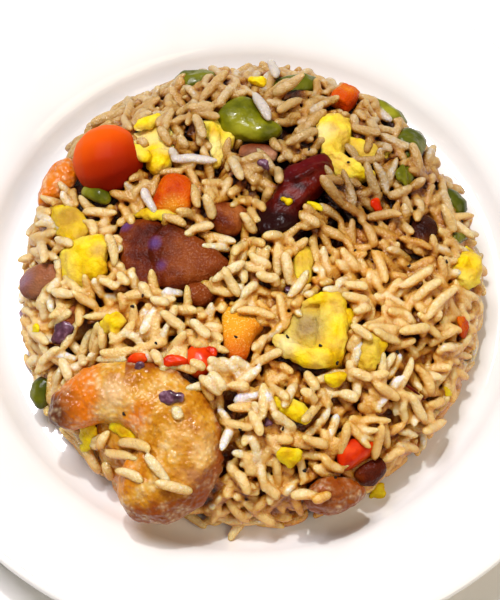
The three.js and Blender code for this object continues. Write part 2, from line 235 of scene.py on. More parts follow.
def ripple(points, size, octaves=1):
    """Smooth noise of about -1 to 1 with bumps size mm across, each octave half as large as the last."""
    total = 0
    for octave in range(octaves):
        place = points * 2**octave / size + 11.3 * octave
        cell = np.floor(place).astype(int)
        part = place - cell
        part = part * part * (3 - 2 * part)
        for dx in (0, 1):
            for dy in (0, 1):
                for dz in (0, 1):
                    share = np.prod(np.where([dx, dy, dz], part, 1 - part), axis=1)
                    total = total + share * lattice[tuple(((cell + (dx, dy, dz)) % 32).T)] / 2**octave
    return total


def pillow(corners, rise, sink=3.0, lean=(0, 0), fullness=2.5):
    """A lump in the heap, from its outline seen from above: how far it stands out and sinks in, its slope."""
    line = np.array(corners, float)
    for _ in range(3):
        after = np.roll(line, -1, 0)
        line = np.stack([0.8 * line + 0.2 * after, 0.2 * line + 0.8 * after], 1).reshape(-1, 2)
    after = np.roll(line, -1, 0)
    if np.sum(line[:, 0] * after[:, 1] - after[:, 0] * line[:, 1]) < 0:
        line = line[::-1]
    middle = line.mean(0)
    regained = 1.06  # of the size that the rounding of the corners takes off
    turn = np.linspace(math.pi, 0, 21)[:, None]
    out = np.sin(turn).clip(0) ** (2 / fullness)
    up = np.sign(np.cos(turn)) * np.abs(np.cos(turn)) ** (2 / fullness)
    x = middle[0] + regained * out * (line[:, 0] - middle[0])
    y = middle[1] + regained * out * (line[:, 1] - middle[1])
    tilt = lean[0] * (x - middle[0]) + lean[1] * (y - middle[1])
    z = heap_top(x, y)[0] + rice_level + tilt + up * np.where(up > 0, rise, sink + rice_level)
    rings = np.stack([x, y, z], -1)
    return capped(rings[1:-1], rings[0, 0], rings[-1, 0])


def strand(spine, flatness=0.8, sides=14, steps=44):
    """A soft ridge on the heap, along a spine of places (x, y, height above the rice, width)."""
    line = rounded(spine, 3)
    gone = np.concatenate([[0], np.cumsum(np.hypot(*np.diff(line[:, :2], axis=0).T))])
    place = gone[-1] * (1 - np.cos(np.linspace(0, math.pi, steps))) / 2
    x, y, lift, width = (np.interp(place, gone, column) for column in line.T)
    centre = np.stack([x, y, heap_top(x, y)[0] + rice_level + lift], -1)
    ahead = np.stack([np.gradient(x), np.gradient(y)], -1)
    ahead /= np.linalg.norm(ahead, axis=1)[:, None]
    across = np.stack([-ahead[:, 1], ahead[:, 0], 0 * x], -1)
    tip = np.minimum(1, np.minimum(place, gone[-1] - place) / (width / 2))
    half_width = (width / 2 * np.sqrt(1 - (1 - tip) ** 2))[:, None, None]
    around = (np.arange(sides) * 2 * math.pi / sides)[:, None]
    outward = across[:, None] * np.cos(around) + (0, 0, flatness) * np.sin(around)
    rings = centre[:, None] + half_width * outward
    return capped(rings[1:-1], centre[0], centre[-1])


def points_and_faces(thing):
    """Points in mm and faces of an object."""
    points = np.empty(3 * len(thing.data.vertices))
    thing.data.vertices.foreach_get("co", points)
    return points.reshape(-1, 3) / MM, [tuple(face.vertices) for face in thing.data.polygons]


def solid_of(node):
    """Points in mm and faces of a CAD node."""
    return points_and_faces(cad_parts[node])


def relax(values, faces, rounds):
    """Values at the points of a closed mesh, evened out along its edges."""
    here, there = faces.ravel(), np.roll(faces, -1, 1).ravel()
    count = np.bincount(here, minlength=len(values))
    for _ in range(rounds):
        total = [np.bincount(here, column[there], len(values)) for column in values.T]
        values = values + 0.6 * (np.stack(total, -1) / count[:, None] - values)
    return values


def changed(points, faces, kind, **settings):
    """Points and faces, as an array, after a Blender modifier."""
    work = bpy.data.meshes.new("work")
    work.from_pydata(points.tolist(), [], faces)
    holder = bpy.data.objects.new("work", work)
    scene.collection.objects.link(holder)
    modifier = holder.modifiers.new("change", kind)
    for key, value in settings.items():
        setattr(modifier, key, value)
    made = holder.evaluated_get(bpy.context.evaluated_depsgraph_get()).to_mesh()
    points = np.empty(3 * len(made.vertices))
    made.vertices.foreach_get("co", points)
    faces = np.empty(len(made.loops), int)
    made.loops.foreach_get("vertex_index", faces)
    faces = faces.reshape(len(made.polygons), -1)
    bpy.data.objects.remove(holder)
    bpy.data.meshes.remove(work)
    return points.reshape(-1, 3), faces


def moulded(lumps, voxel=0.35, rounds=6, keep=0.5):
    """One soft skin over lumps that meet, remade in voxels of that many mm. A share of its faces is kept."""
    points = np.vstack([lump[0] for lump in lumps])
    faces = []
    start = 0
    for some, lump_faces in lumps:
        faces += [[k + start for k in face] for face in lump_faces]
        start += len(some)
    points, faces = changed(points, faces, "REMESH", mode="VOXEL", voxel_size=voxel)
    points = relax(points, faces, rounds)
    return changed(points, faces.tolist(), "DECIMATE", ratio=keep, use_collapse_triangulate=True)


toppings = []  # every topping's object, for the rice to lie against


def serve(name, shape, material, slot, *nodes, swell=None, paint=None):
    """Makes a piece, which stands for CAD nodes if any are given. swell gives how far each point moves out,
    in mm, and paint the attributes that the material reads, both from the points and their normals."""
    points, faces = shape
    piece = mesh_object(name, points, faces, material)
    normals = np.empty(3 * len(points))
    piece.data.vertex_normals.foreach_get("vector", normals)
    normals = normals.reshape(-1, 3)
    if swell:
        moved = points + normals * swell(points, normals)[:, None]
        piece.data.vertices.foreach_set("co", (moved * MM).ravel())
        piece.data.update()
    for key, value in (paint(points, normals) if paint else {}).items():
        piece.data.attributes.new(key, "FLOAT", "POINT").data.foreach_set("value", value)
    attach(piece, "root")
    if nodes:
        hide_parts(*nodes)
        toppings.append(piece)
    return piece


def numbered(kind):
    """The CAD nodes of one kind, in order."""
    nodes = [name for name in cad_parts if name.split("_")[0] == kind]
    return sorted(nodes, key=lambda name: (len(name), name))


def lumps_of(node, shapes):
    """What a topping is moulded from: the lumps drawn for it, or else its CAD node."""
    return shapes.get(node) or [solid_of(node)]


def near_to(points, place, radius):
    """1 at a place (x, y), falling to 0 a radius away."""
    away = np.hypot(points[:, 0] - place[0], points[:, 1] - place[1]) / radius
    return np.clip(1.3 * (1 - away), 0, 1)


def tinted(material, under, mark, colour, blend="MIX"):
    """A colour over another one, as much as an attribute of the mesh says."""
    amount = add_node(material, "Attribute", attribute_name=mark)
    sockets = {0: amount.outputs["Fac"], 1: under.outputs[0], 2: linear(colour)}
    return add_node(material, "MixRGB", sockets, blend_type=blend)


# Sauce of soy and sugar baked on to meat, red-brown in patches, with violet highlights and glint specks
# painted on.
pork = new_material("glazed_roast_pork")
where = add_node(pork, "TexCoord").outputs["Object"]
patches = add_node(pork, "TexNoise", {
    "Vector": where, "Scale": scale_of(9.09), "Detail": 5.0, "Roughness": 0.6})
meat = add_node(pork, "ValToRGB", {0: patches.outputs[0]}, stops=[
    (0.34, "#3A0C02"), (0.46, "#5C1C04"), (0.56, "#7A340C"), (0.70, "#A8602A")])
browned = tinted(pork, meat, "roast", "#823A0C")
# Painted highlight: violet patches stand for the cool window's reflection on the ridge and on pork_3.
violet_highlit = tinted(pork, browned, "violet_highlight", "#5C4488")
fatty = tinted(pork, violet_highlit, "fat", "#E4AE84")
# The piece at (42, 9) is made near black.
near_blackened = tinted(pork, fatty, "near_black", "#1E0A06")
grit = add_node(pork, "TexNoise", {"Vector": where, "Scale": scale_of(0.526), "Detail": 1.0})
skin = add_node(pork, "Bump", {"Height": grit.outputs[0], "Strength": 0.5, "Distance": 0.0007})
# Painted glints: pale specks on the grit's peaks, in the roast part.
painted_glints = add_node(pork, "MapRange", {0: grit.outputs[0], 1: 0.56, 2: 0.68, 3: 0.0, 4: 0.3})
roast = add_node(pork, "Attribute", attribute_name="roast")
roast_glints = add_node(pork, "Math", {0: painted_glints.outputs[0], 1: roast.outputs["Fac"]}, operation="MULTIPLY")
glinted = add_node(pork, "MixRGB", {0: roast_glints.outputs[0], 1: near_blackened.outputs[0], 2: linear("#DCA074")})
shade(pork, **{
    "Base Color": glinted.outputs[0], "Roughness": 0.38, "IOR": 1.42, "Specular IOR Level": 0.08,
    "Normal": skin.outputs[0],
    "Coat Weight": 0.16, "Coat Roughness": 0.1, "Coat IOR": 1.4, "Coat Normal": skin.outputs[0],
    "Subsurface Weight": 0.15, "Subsurface Radius": (0.002, 0.0008, 0.0004),
})
ridge_line = [
    (-19.0, 6.8, 2.0, 2.4), (-21.6, 3.6, 2.8, 3.0), (-22.8, 0.4, 2.8, 3.0), (-21.6, -4, 2.0, 2.6),
    (-20.2, -8.6, 1.0, 2),
]
pork_shapes = {
    "pork_1": [
        pillow([(-31.1, 8), (-27, 9.3), (-20.7, 8.3), (-20, 0.5), (-20.6, -8.8), (-26, -8.2), (-30.4, -4.4),
                (-31.4, 2)], 2.4),
        pillow([(-19.2, 7.2), (-15.6, 5.6), (-11.5, 3.2), (-8.0, 0.6), (-4.6, -3.1), (-6.2, -6.6),
                (-11.8, -7.8), (-16.6, -8.6), (-20.1, -9.4), (-22.2, -4.1), (-23.4, 0.9),
                (-22.1, 5)], 4.4, lean=(-0.08, 0.05), fullness=2.2),
        strand(ridge_line),
    ],
    "pork_2": [pillow([(-8.7, 12.6), (-2.9, 13), (-0.4, 10.6), (-2.2, 5.1), (-6.7, 4.6), (-9.8, 8.1)], 3.0)],
    "pork_7": [pillow([(-15.4, -7.7), (-10.7, -7.6), (-8.4, -9.8), (-10.4, -13.2), (-14.1, -12.5)], 1.8)],
}
for node in numbered("pork"):
    fatness = {"pork_3": 0.4, "pork_8": 0.5}.get(node, 0)
    serve(f"roast_{node}", moulded(lumps_of(node, pork_shapes)), pork, "pork", node,
          swell=lambda p, n: 0.1 + 0.35 * ripple(p, 5, 2) + 0.1 * ripple(p, 1.6, 2),
          paint=lambda p, n: {
              # violet_highlight: painted highlights on the ridge of pork_1 and on pork_3
              "violet_highlight": 0.7 * np.maximum(near_to(p, (-30, 8), 2.4), near_to(p, (-22.6, 2), 2.1))
              + 0.5 * near_to(p, (-20.8, -3.8), 1.7) + 0.6 * near_to(p, (-55, -3.5), 3.5),
              "roast": np.maximum(0.8 * near_to(p, (-12, -1), 10), near_to(p, (-11.6, -10.4), 4)),
              "fat": fatness * np.clip(0.6 + ripple(p, 5), 0, 1),
              # near_black: the piece at (42, 9)
              "near_black": 0.85 * near_to(p, (42, 9), 9)})


# ---------- sausage ----------
# A stub of cured dark red sausage, cut to flat faces on the slant, its skin shining with fat.
# Cured and dried pork in a natural casing: dark wine red, wrinkled, with a dull shine of fat.
cured = new_material("cured_sausage")
where = add_node(cured, "TexCoord").outputs["Object"]
flecks = add_node(cured, "TexNoise", {"Vector": where, "Scale": scale_of(3.33), "Detail": 3.0})
flesh = add_node(cured, "ValToRGB", {0: flecks.outputs[0]}, stops=[
    (0.32, "#2C0401"), (0.5, "#520A02"), (0.64, "#681404"), (0.8, "#7A2C0C")])
# Painted sheen: the top face is tinted wine-purple, as the window's reflection on it.
upper = tinted(cured, flesh, "top_sheen", "#560A12")
# Painted shade: the lower end is darkened, where it lies low among the grains.
lower = tinted(cured, upper, "lower_end_shade", "#240806")
wrinkle = add_node(cured, "TexNoise", {"Vector": where, "Scale": scale_of(1.11), "Detail": 2.0})
skin = add_node(cured, "Bump", {"Height": wrinkle.outputs[0], "Strength": 0.4, "Distance": 0.0006})
shade(cured, **{
    "Base Color": lower.outputs[0], "Roughness": 0.34, "IOR": 1.42, "Specular IOR Level": 0.08,
    "Normal": skin.outputs[0],
    "Coat Weight": 0.09, "Coat Roughness": 0.1, "Coat IOR": 1.4, "Coat Normal": skin.outputs[0],
})
sausage_shape = [
    pillow([(8.3, 22), (12.4, 23.2), (16.1, 25.4), (18, 26.2), (20, 22.8), (20, 19), (16.9, 16), (14, 13.6),
            (11.5, 10), (7.7, 6.8), (4.8, 6.7), (3.4, 10.4), (4.4, 13.9),
            (7, 16.3)], 3.6, lean=(-0.05, 0.12), fullness=3.2),
    pillow([(2.6, 13.3), (8.4, 12.8), (12.7, 10.6), (11.7, 7.4), (8.1, 5), (5.2, 3.2), (1.6, 5.9)], 2.2),
    strand([(6.8, 17.4, 2.6, 2.2), (11, 18.4, 3.6, 2.6), (15.4, 20.6, 3.8, 2.6), (19, 22.4, 3.2, 2.2)]),
]
serve("cured_sausage", moulded(sausage_shape), cured, "sausage", "sausage",
      swell=lambda p, n: 0.05 + 0.28 * ripple(p, 3.4, 2) + 0.14 * ripple(p, 1.2, 2),
      paint=lambda p, n: {
          # painted sheen on the top face, painted shade on the lower end
          "top_sheen": np.clip((p[:, 1] - 0.45 * p[:, 0] - 13) / 2.5, 0, 1) * 0.7,
          "lower_end_shade": np.clip((14 - p[:, 1] - 0.2 * p[:, 0]) / 3.5, 0, 1)})


# ---------- scrambled egg ----------
# Beaten egg, set in a hot wok and broken into soft curds. It is bright yellow, matt and finely pitted.
# Set egg: opaque, light goes a few mm in, and the curd's tiny pits keep it from shining.
egg = new_material("scrambled_egg")
where = add_node(egg, "TexCoord").outputs["Object"]
streaks = add_node(egg, "TexNoise", {"Vector": where, "Scale": scale_of(3.85), "Detail": 4.0})
curd = add_node(egg, "ValToRGB", {0: streaks.outputs[0]}, stops=[
    (0.3, "#CC9A00"), (0.45, "#E6BC00"), (0.58, "#F4D402"), (0.75, "#FAE23C")])
# Pale: whiter egg in random patches, and painted highlights on egg_1, egg_3 and egg_7.
pale_and_highlit = tinted(egg, curd, "pale", "#F5E8A4")
fried = tinted(egg, pale_and_highlit, "browned", "#B07E12")
glassy = tinted(egg, fried, "clear", "#A88E60")
pits = add_node(egg, "TexNoise", {"Vector": where, "Scale": scale_of(0.714), "Detail": 3.0})
skin = add_node(egg, "Bump", {"Height": pits.outputs[0], "Strength": 0.5, "Distance": 0.0008})
shade(egg, **{
    "Base Color": glassy.outputs[0], "Roughness": 0.5, "IOR": 1.38, "Specular IOR Level": 0.3,
    "Normal": skin.outputs[0], "Subsurface Weight": 0.4, "Subsurface Radius": (0.003, 0.002, 0.0004),
})
egg_shapes = {
    "egg_1": [
        pillow([(17.2, 35.7), (18.8, 38.1), (21.8, 38.6), (24.5, 37.5), (25.2, 35.7), (24.5, 30.9),
                (23, 27.8), (21.4, 25.2), (19.5, 24.5), (17.6, 26.5), (16.9, 29.3),
                (16.7, 33.2)], 3.4, lean=(-0.12, 0.0), fullness=3),
        pillow([(17.6, 26.8), (20, 27.6), (22.5, 27.1), (24.3, 24.7), (27.2, 22.6), (30.1, 21.7),
                (29.1, 20.5), (24.7, 19.8), (22.7, 19.4), (20.4, 21.5),
                (18.5, 23.6)], 2.4, lean=(0.05, 0.1)),
        strand([(19.4, 26.2, 3.0, 1.8), (23.0, 24.6, 2.6, 1.6), (25.4, 22.4, 2.2, 2.4),
                (28.4, 21.4, 1.6, 1.4)]),
    ],
    "egg_2": [pillow([(24.6, 32.7), (27.5, 31.4), (30.5, 30), (34.1, 28.8), (33.8, 26.5), (31.7, 25.7),
                      (28.3, 26.1), (25.9, 27.9), (24, 29)], 1.4, lean=(0, 0.2))],
    "egg_3": [
        pillow([(15.8, -15.4), (17.6, -13), (21.2, -13.2), (22.8, -16.5), (22.4, -23.8), (21.4, -27.1),
                (18.2, -28.3), (15.4, -25.3), (15.2, -20.5)], 3.8, lean=(-0.06, 0.0), fullness=3.4),
        strand([(6.1, -20.5, 1.4, 2.4), (7.0, -22.8, 2.0, 4.2), (9.8, -25.2, 2.4, 4.6),
                (13.5, -26.6, 2.4, 4.8), (17.2, -27.0, 2.2, 4.8), (19.5, -26.2, 2.2, 4.2)], 0.9),
        strand([(12, -13.6, 0.8, 1.2), (14.5, -13.1, 1.4, 2.0), (17.9, -12.5, 2.4, 3.2),
                (20.4, -13.1, 2.6, 3.6), (21.8, -15.5, 2.0, 3)]),
        pillow([(21.8, -14.7), (23.5, -14.2), (25.1, -15.8), (24.8, -17.9), (22.9, -19.5), (21.4, -18)], 2.0),
        pillow([(9.4, -15.6), (12.4, -12.9), (16.9, -13.2), (17.4, -17.7), (16.8, -25.3), (10.7, -25),
                (7.9, -21.2)], 0.8),
        pillow([(10.8, -16.4), (13.4, -14.4), (16.6, -14.8), (17.6, -19.6), (17.0, -23.4), (13.4, -23.6),
                (11.0, -21.2)], 1.9),
    ],
    "egg_4": [pillow([(-46.1, 1.6), (-43.4, 3.6), (-39, 4.5), (-35.3, 4.6), (-34, 1.4), (-34.8, -1.9),
                      (-33.9, -4.5), (-36.1, -6.9), (-39.5, -7.5), (-44.5, -6),
                      (-45.1, -2)], 3.2, lean=(0.25, 0.1), fullness=3)],
    "egg_5": [pillow([(-50.8, 16.4), (-45.9, 15.6), (-41.2, 12.4), (-38.5, 8.4), (-39.3, 4.3), (-42.7, 3.6),
                      (-47.4, 6.8)], 2.2)],
    "egg_6": [
        pillow([(-31, 31.2), (-28.4, 33.7), (-23.5, 36.2), (-20.2, 34.7), (-17.8, 30.4), (-18, 27.6),
                (-20.9, 25.5), (-24.2, 24.3), (-28.2, 27.5)], -0.8),
        pillow([(-24.6, 26.2), (-22.4, 27.4), (-19.7, 27.4), (-18.6, 25.7), (-20.1, 23), (-21.8, 20.9),
                (-23.5, 21.6), (-24.9, 23.9)], 1.8),
        strand([(-31.9, 30.8, 1.6, 2.6), (-29, 27.4, 2.4, 3.2), (-26.2, 25, 2.4, 3.2),
                (-24, 23.8, 2.0, 2.6)]),
        strand([(-28.6, 33.6, 1.8, 2.6), (-25.2, 36.7, 2.2, 3.4), (-21.6, 37.4, 1.4, 2.6)]),
    ],
    "egg_7": [
        pillow([(-11.6, 35.7), (-8.9, 36.8), (-6.9, 34.4), (-3.7, 32.3), (-4.4, 29.8), (-6.4, 27.6),
                (-7.3, 24.1), (-9, 23.5), (-9.8, 27.6), (-10.3, 31.9)], 1.6),
        strand([(-9.2, 34.6, 1.6, 2.2), (-8.6, 29.8, 2.4, 2.6), (-8.4, 25.4, 1.4, 1.8)]),
    ],
    "egg_8": [pillow([(11.2, 0.6), (12.9, 2.2), (15.3, 0.7), (15.4, -2.9), (14.0, -7), (11.8, -8.2),
                      (10.2, -4.3)], 1.8)],
    "egg_11": [strand([(-35.6, -19.2, 0.8, 3.6), (-32.4, -17.2, 1.8, 5.2), (-29.2, -18.8, 1.2, 3.4)]),
               strand([(-31.6, -18.6, 1.2, 3.6), (-31.2, -22.8, 0.6, 2.4)])],
    "egg_13": [strand([(-28.7, 11.2, 0.8, 1.4), (-24, 10.2, 1.6, 2.8), (-20.1, 9.4, 1.6, 2.8),
                       (-16.3, 8.6, 0.8, 1.6)])],
}
for node in numbered("egg"):
    age = {"egg_5": 0.8, "egg_2": 0.35, "egg_8": 0.35, "egg_9": 0.35}.get(node, 0)
    whiteness = 0.6 if node == "egg_6" else 0.2
    serve(f"scrambled_{node}", moulded(lumps_of(node, egg_shapes), voxel=0.28, rounds=5), egg, "egg", node,
          swell=lambda p, n: 0.1 + 0.4 * ripple(p, 3.2, 2) + 0.38 * ripple(p, 1.3, 2),
          paint=lambda p, n: {
              # the pale spots at (18, 32), (8.4, -23.4) and (-8.7, 28) are painted highlights
              "pale": whiteness * np.clip(0.5 + 1.2 * ripple(p, 4), 0, 1) + 0.5 * near_to(p, (18, 32), 4)
              + 0.6 * near_to(p, (8.4, -23.4), 4) + 0.7 * near_to(p, (-8.7, 28), 4),
              # browned with age in random patches; egg_1's fold at (23, 29) is also darkened
              "browned": np.maximum(
                  age * np.clip(0.7 + ripple(p, 4), 0, 1), 0.55 * near_to(p, (23, 29), 3.4)),
              "clear": 0.9 * near_to(p, (13.2, -19), 6.6)})


# ---------- the cherry tomato ----------
# Half sunk in the rice, its skin smooth and tight; orange at the upper left to deep red at the lower right, a
# painted shade.
# Skin of a ripe tomato, warmed through: taut and even, it lets red light through and hardly shines.
tomato_skin = new_material("ripe_tomato")
where = add_node(tomato_skin, "TexCoord").outputs["Object"]
# Painted shade: the side away from the light is painted deep red, the lit side orange.
shaded_side = (0.45, -0.89, 0.0)
toward_shade = add_node(
    tomato_skin, "VectorMath", {0: where, 1: shaded_side}, operation="DOT_PRODUCT")
from_side, to_side = -0.047, -0.0315  # the lit and the shaded side, in metres along that way
shift = add_node(tomato_skin, "MapRange", {0: toward_shade.outputs["Value"], 1: from_side, 2: to_side})
lit_to_shaded_reds = add_node(tomato_skin, "ValToRGB", {0: shift.outputs[0]}, stops=[
    (0.0, "#EC6400"), (0.4, "#E05200"), (0.7, "#B83000"), (1.0, "#881600")])
shade(tomato_skin, **{
    "Base Color": lit_to_shaded_reds.outputs[0], "Roughness": 0.55, "IOR": 1.35, "Specular IOR Level": 0.12,
    "Subsurface Weight": 0.2, "Subsurface Radius": (0.004, 0.001, 0.0003),
})
serve("cherry_tomato", moulded([solid_of("tomato")], voxel=0.4, rounds=12), tomato_skin, "tomato", "tomato",
      swell=lambda p, n: 0.3 + 0.2 * ripple(p, 9))


# ---------- green pepper ----------
# Diced green pepper, flash fried: waxy skin outside, olive where it has cooked, with a wet shine.
# Skin of a fried pepper: yellow-green turned olive by the heat, waxy and wet, so it shines.
pepper = new_material("green_pepper")
where = add_node(pepper, "TexCoord").outputs["Object"]
scorch = add_node(pepper, "TexNoise", {"Vector": where, "Scale": scale_of(7.14), "Detail": 3.0})
green = add_node(pepper, "ValToRGB", {0: scorch.outputs[0]}, stops=[
    (0.30, "#343A02"), (0.44, "#5C5E04"), (0.56, "#7A7A06"), (0.7, "#9C9A22")])
deep = tinted(pepper, green, "deep", "#2C3E08")
wax = add_node(pepper, "TexNoise", {"Vector": where, "Scale": scale_of(2), "Detail": 2.0})
skin = add_node(pepper, "Bump", {"Height": wax.outputs[0], "Strength": 0.5, "Distance": 0.0009})
shade(pepper, **{
    "Base Color": deep.outputs[0], "Roughness": 0.3, "IOR": 1.42, "Specular IOR Level": 0.2,
    "Normal": skin.outputs[0], "Coat Weight": 0.35, "Coat Roughness": 0.12, "Coat IOR": 1.4,
    "Subsurface Weight": 0.12, "Subsurface Radius": (0.001, 0.001, 0.0003),
})
pepper_shapes = {
    "pepper_1": [pillow([(-8.3, 36.9), (-5.7, 40.4), (-2.5, 42.6), (0.5, 41.8), (2.2, 38.4), (5.4, 35.6),
                         (7.8, 33.6), (4.9, 31.4), (1.5, 31), (-2.5, 31.8),
                         (-6.1, 33.1)], 3.2, lean=(0, 0.06), fullness=2.8)],
    "pepper_8": [strand([(-41, 18.6, 0.8, 3.0), (-37.4, 16.8, 1.6, 4.6), (-34, 14.4, 0.8, 3.2)])],
}
for node in numbered("pepper"):
    depth = 0 if node in ("pepper_1", "pepper_5") else 0.5
    serve(f"green_{node}", moulded(lumps_of(node, pepper_shapes), voxel=0.35, rounds=5), pepper, "pepper",
          node, swell=lambda p, n: 0.15 + 0.35 * ripple(p, 3.6, 2),
          paint=lambda p, n: {"deep": depth * np.clip(0.8 + ripple(p, 6), 0, 1)})


# ---------- carrot ----------
# Small dice of cooked carrot, deep orange and yellower at the core, with softened edges.
# Boiled carrot: clear deep orange, soft light inside, with tiny pale specks painted as glints on the yellow
# side.
carrot = new_material("cooked_carrot")
where = add_node(carrot, "TexCoord").outputs["Object"]
core_mix = add_node(carrot, "TexNoise", {"Vector": where, "Scale": scale_of(5), "Detail": 3.0})
orange = add_node(carrot, "ValToRGB", {0: core_mix.outputs[0]}, stops=[
    (0.32, "#B43200"), (0.5, "#CE5000"), (0.68, "#DC7C0A")])
sweet = tinted(carrot, orange, "yellow", "#EEA41C")
fibre = add_node(carrot, "TexNoise", {"Vector": where, "Scale": scale_of(0.5), "Detail": 1.0})
# Painted glints: pale specks on the fibre noise's peaks, on the yellow side.
glint_spots = add_node(carrot, "MapRange", {0: fibre.outputs[0], 1: 0.55, 2: 0.68, 3: 0.0, 4: 0.7})
yellow = add_node(carrot, "Attribute", attribute_name="yellow")
painted_glints = add_node(carrot, "Math", {0: glint_spots.outputs[0], 1: yellow.outputs["Fac"]}, operation="MULTIPLY")
glinted = add_node(carrot, "MixRGB", {0: painted_glints.outputs[0], 1: sweet.outputs[0], 2: linear("#FFDC80")})
skin = add_node(carrot, "Bump", {"Height": fibre.outputs[0], "Strength": 0.5, "Distance": 0.0008})
shade(carrot, **{
    "Base Color": glinted.outputs[0], "Roughness": 0.3, "IOR": 1.4, "Specular IOR Level": 0.12,
    "Normal": skin.outputs[0], "Subsurface Weight": 0.3, "Subsurface Radius": (0.003, 0.001, 0.0002),
})
carrot_shapes = {
    "carrot_1": [pillow([(-21.1, 19.6), (-18, 20.4), (-14.6, 19), (-13.8, 14.8), (-14.5, 11.4), (-16.8, 10),
                         (-20.7, 10.6), (-24.1, 12.2), (-22.6, 15.3)], 3.0, fullness=3.4)],
    "carrot_3": [pillow([(-6.3, -14), (-2.4, -13.7), (2.2, -15.6), (3.0, -18.2), (0.9, -19.8), (0.1, -23.1),
                         (-1.1, -26.4), (-4.2, -27), (-5.8, -24.4), (-6.3, -19.1)], 2.6, fullness=3.2)],
}
for node in numbered("carrot"):
    serve(f"diced_{node}", moulded(lumps_of(node, carrot_shapes), voxel=0.3, rounds=3), carrot, "carrot",
          node, swell=lambda p, n: 0.15 + 0.22 * ripple(p, 2.5, 3),
          paint=lambda p, n: {
              "yellow": 0.95 * near_to(p, (-4.0, -16.5), 11) + 0.6 * near_to(p, (-18.5, 11), 4)})


# ---------- red pepper ----------
# Slivers of red pepper, bright orange-red, waxy and wet.
# Skin and flesh of a ripe pepper, just fried: clear bright red, a little orange, thinly oiled.
red_pepper = new_material("red_pepper")
where = add_node(red_pepper, "TexCoord").outputs["Object"]
blush = add_node(red_pepper, "TexNoise", {"Vector": where, "Scale": scale_of(4.55), "Detail": 3.0})
red = add_node(red_pepper, "ValToRGB", {0: blush.outputs[0]}, stops=[
    (0.35, "#C42200"), (0.5, "#E43A00"), (0.68, "#F05A18")])
shade(red_pepper, **{
    "Base Color": red.outputs[0], "Roughness": 0.3, "IOR": 1.42, "Specular IOR Level": 0.12,
    "Coat Weight": 0.12, "Coat Roughness": 0.15,
    "Subsurface Weight": 0.15, "Subsurface Radius": (0.003, 0.0006, 0.0003),
})
red_shapes = {
    "redpepper_1": [pillow([(-14.2, -24.1), (-10.3, -23.1), (-7.7, -26.1), (-8.8, -29.3), (-11.6, -31.2),
                            (-15.1, -29)], 1.8)],
    "redpepper_2": [pillow([(20.3, -45.9), (23.8, -43.9), (29.8, -43.6), (28.3, -46.5), (24.3, -49.4),
                            (21, -50.4)], 2.2, fullness=3)],
}
for node in numbered("redpepper"):
    serve(f"cut_{node}", moulded(lumps_of(node, red_shapes), voxel=0.3, rounds=4), red_pepper, "redpepper",
          node, swell=lambda p, n: 0.15 + 0.2 * ripple(p, 3, 2))


# ---------- prawns ----------
# Peeled prawns, curled as they fried: golden and oily, browned along the back and charred at the tail.
# Fried prawn flesh: golden and half clear, with fine blisters whose raised tops are painted pale as glints.
prawn = new_material("fried_prawn")
where = add_node(prawn, "TexCoord").outputs["Object"]
browning = add_node(prawn, "TexNoise", {
    "Vector": where, "Scale": scale_of(5), "Detail": 5.0, "Roughness": 0.6})
flesh = add_node(prawn, "ValToRGB", {0: browning.outputs[0]}, stops=[
    (0.3, "#A45A06"), (0.43, "#C88410"), (0.55, "#D89A22"), (0.7, "#E4BC60")])
glowing = tinted(prawn, flesh, "spice", "#E07400")
tender = tinted(prawn, glowing, "pale", "#EBC48E")
toasted = tinted(prawn, tender, "toast", "#8A3808")
charred = tinted(prawn, toasted, "char", "#421410")
blisters = add_node(prawn, "TexVoronoi", {"Vector": where, "Scale": scale_of(1)}, feature="SMOOTH_F1")
raised = add_node(prawn, "ValToRGB", {0: blisters.outputs["Distance"]}, stops=[
    (0.1, "#FFFFFF"), (0.6, "#000000")])
patchy = add_node(prawn, "MapRange", {0: browning.outputs[0], 1: 0.45, 2: 0.66, 3: 0.0, 4: 0.65})
# Painted glints: blister tops, in patches, painted near white.
painted_blister_glints = add_node(prawn, "Math", {0: raised.outputs[0], 1: patchy.outputs[0]}, operation="MULTIPLY")
blister_glinted = add_node(prawn, "MixRGB", {0: painted_blister_glints.outputs[0], 1: charred.outputs[0], 2: linear("#F8E4B4")})
skin = add_node(prawn, "Bump", {"Height": raised.outputs[0], "Strength": 0.8, "Distance": 0.0003})
shade(prawn, **{
    "Base Color": blister_glinted.outputs[0], "Roughness": 0.34, "IOR": 1.4, "Specular IOR Level": 0.25,
    "Normal": skin.outputs[0],
    "Coat Weight": 0.4, "Coat Roughness": 0.12, "Coat IOR": 1.4, "Coat Normal": skin.outputs[0],
    "Subsurface Weight": 0.3, "Subsurface Radius": (0.003, 0.0015, 0.0005),
})
prawn_shapes = {
    "prawn_1": [
        solid_of("prawn_1"),
        pillow([(-35.6, -40.3), (-32.2, -37), (-25.6, -36.7), (-19.9, -41.6), (-19, -50.1), (-21.8, -56.4),
                (-28.6, -55.8), (-32.9, -50), (-35.3, -45.4)], 1.2, 2.5),
    ],
}
curl_middle, curl_radius = (-23.0, -45.0), 14.2


def prawn_marks(points, normals):
    """Brown on the back of the curl, charred at the tail, and orange or pale flesh between."""
    x, y = points[:, 0], points[:, 1]
    out = np.hypot(x - curl_middle[0], y - curl_middle[1])
    on_back = (x > -29) & (y > -64)
    crust = 0.5 * ripple(points, 2.4, 3)
    return {
        "toast": np.clip(((out - curl_radius) / 1.5 + crust) * on_back, 0, 0.88),
        "char": np.clip(near_to(points, (-46.6, -38), 8) + crust * 0.3, 0, 0.9) * (x < -30),
        "spice": (np.clip((-34 - x) / 3, 0, 0.85) + 0.9 * near_to(points, (-26, -41), 4.5)
                  + 0.5 * near_to(points, (-30, -51), 8)),
        "pale": (0.8 * near_to(points, (-31.4, -35), 4.5)
                 + 0.35 * near_to(points, (-13, -50), 9) * np.clip(0.5 + 2 * crust, 0, 1)),
    }


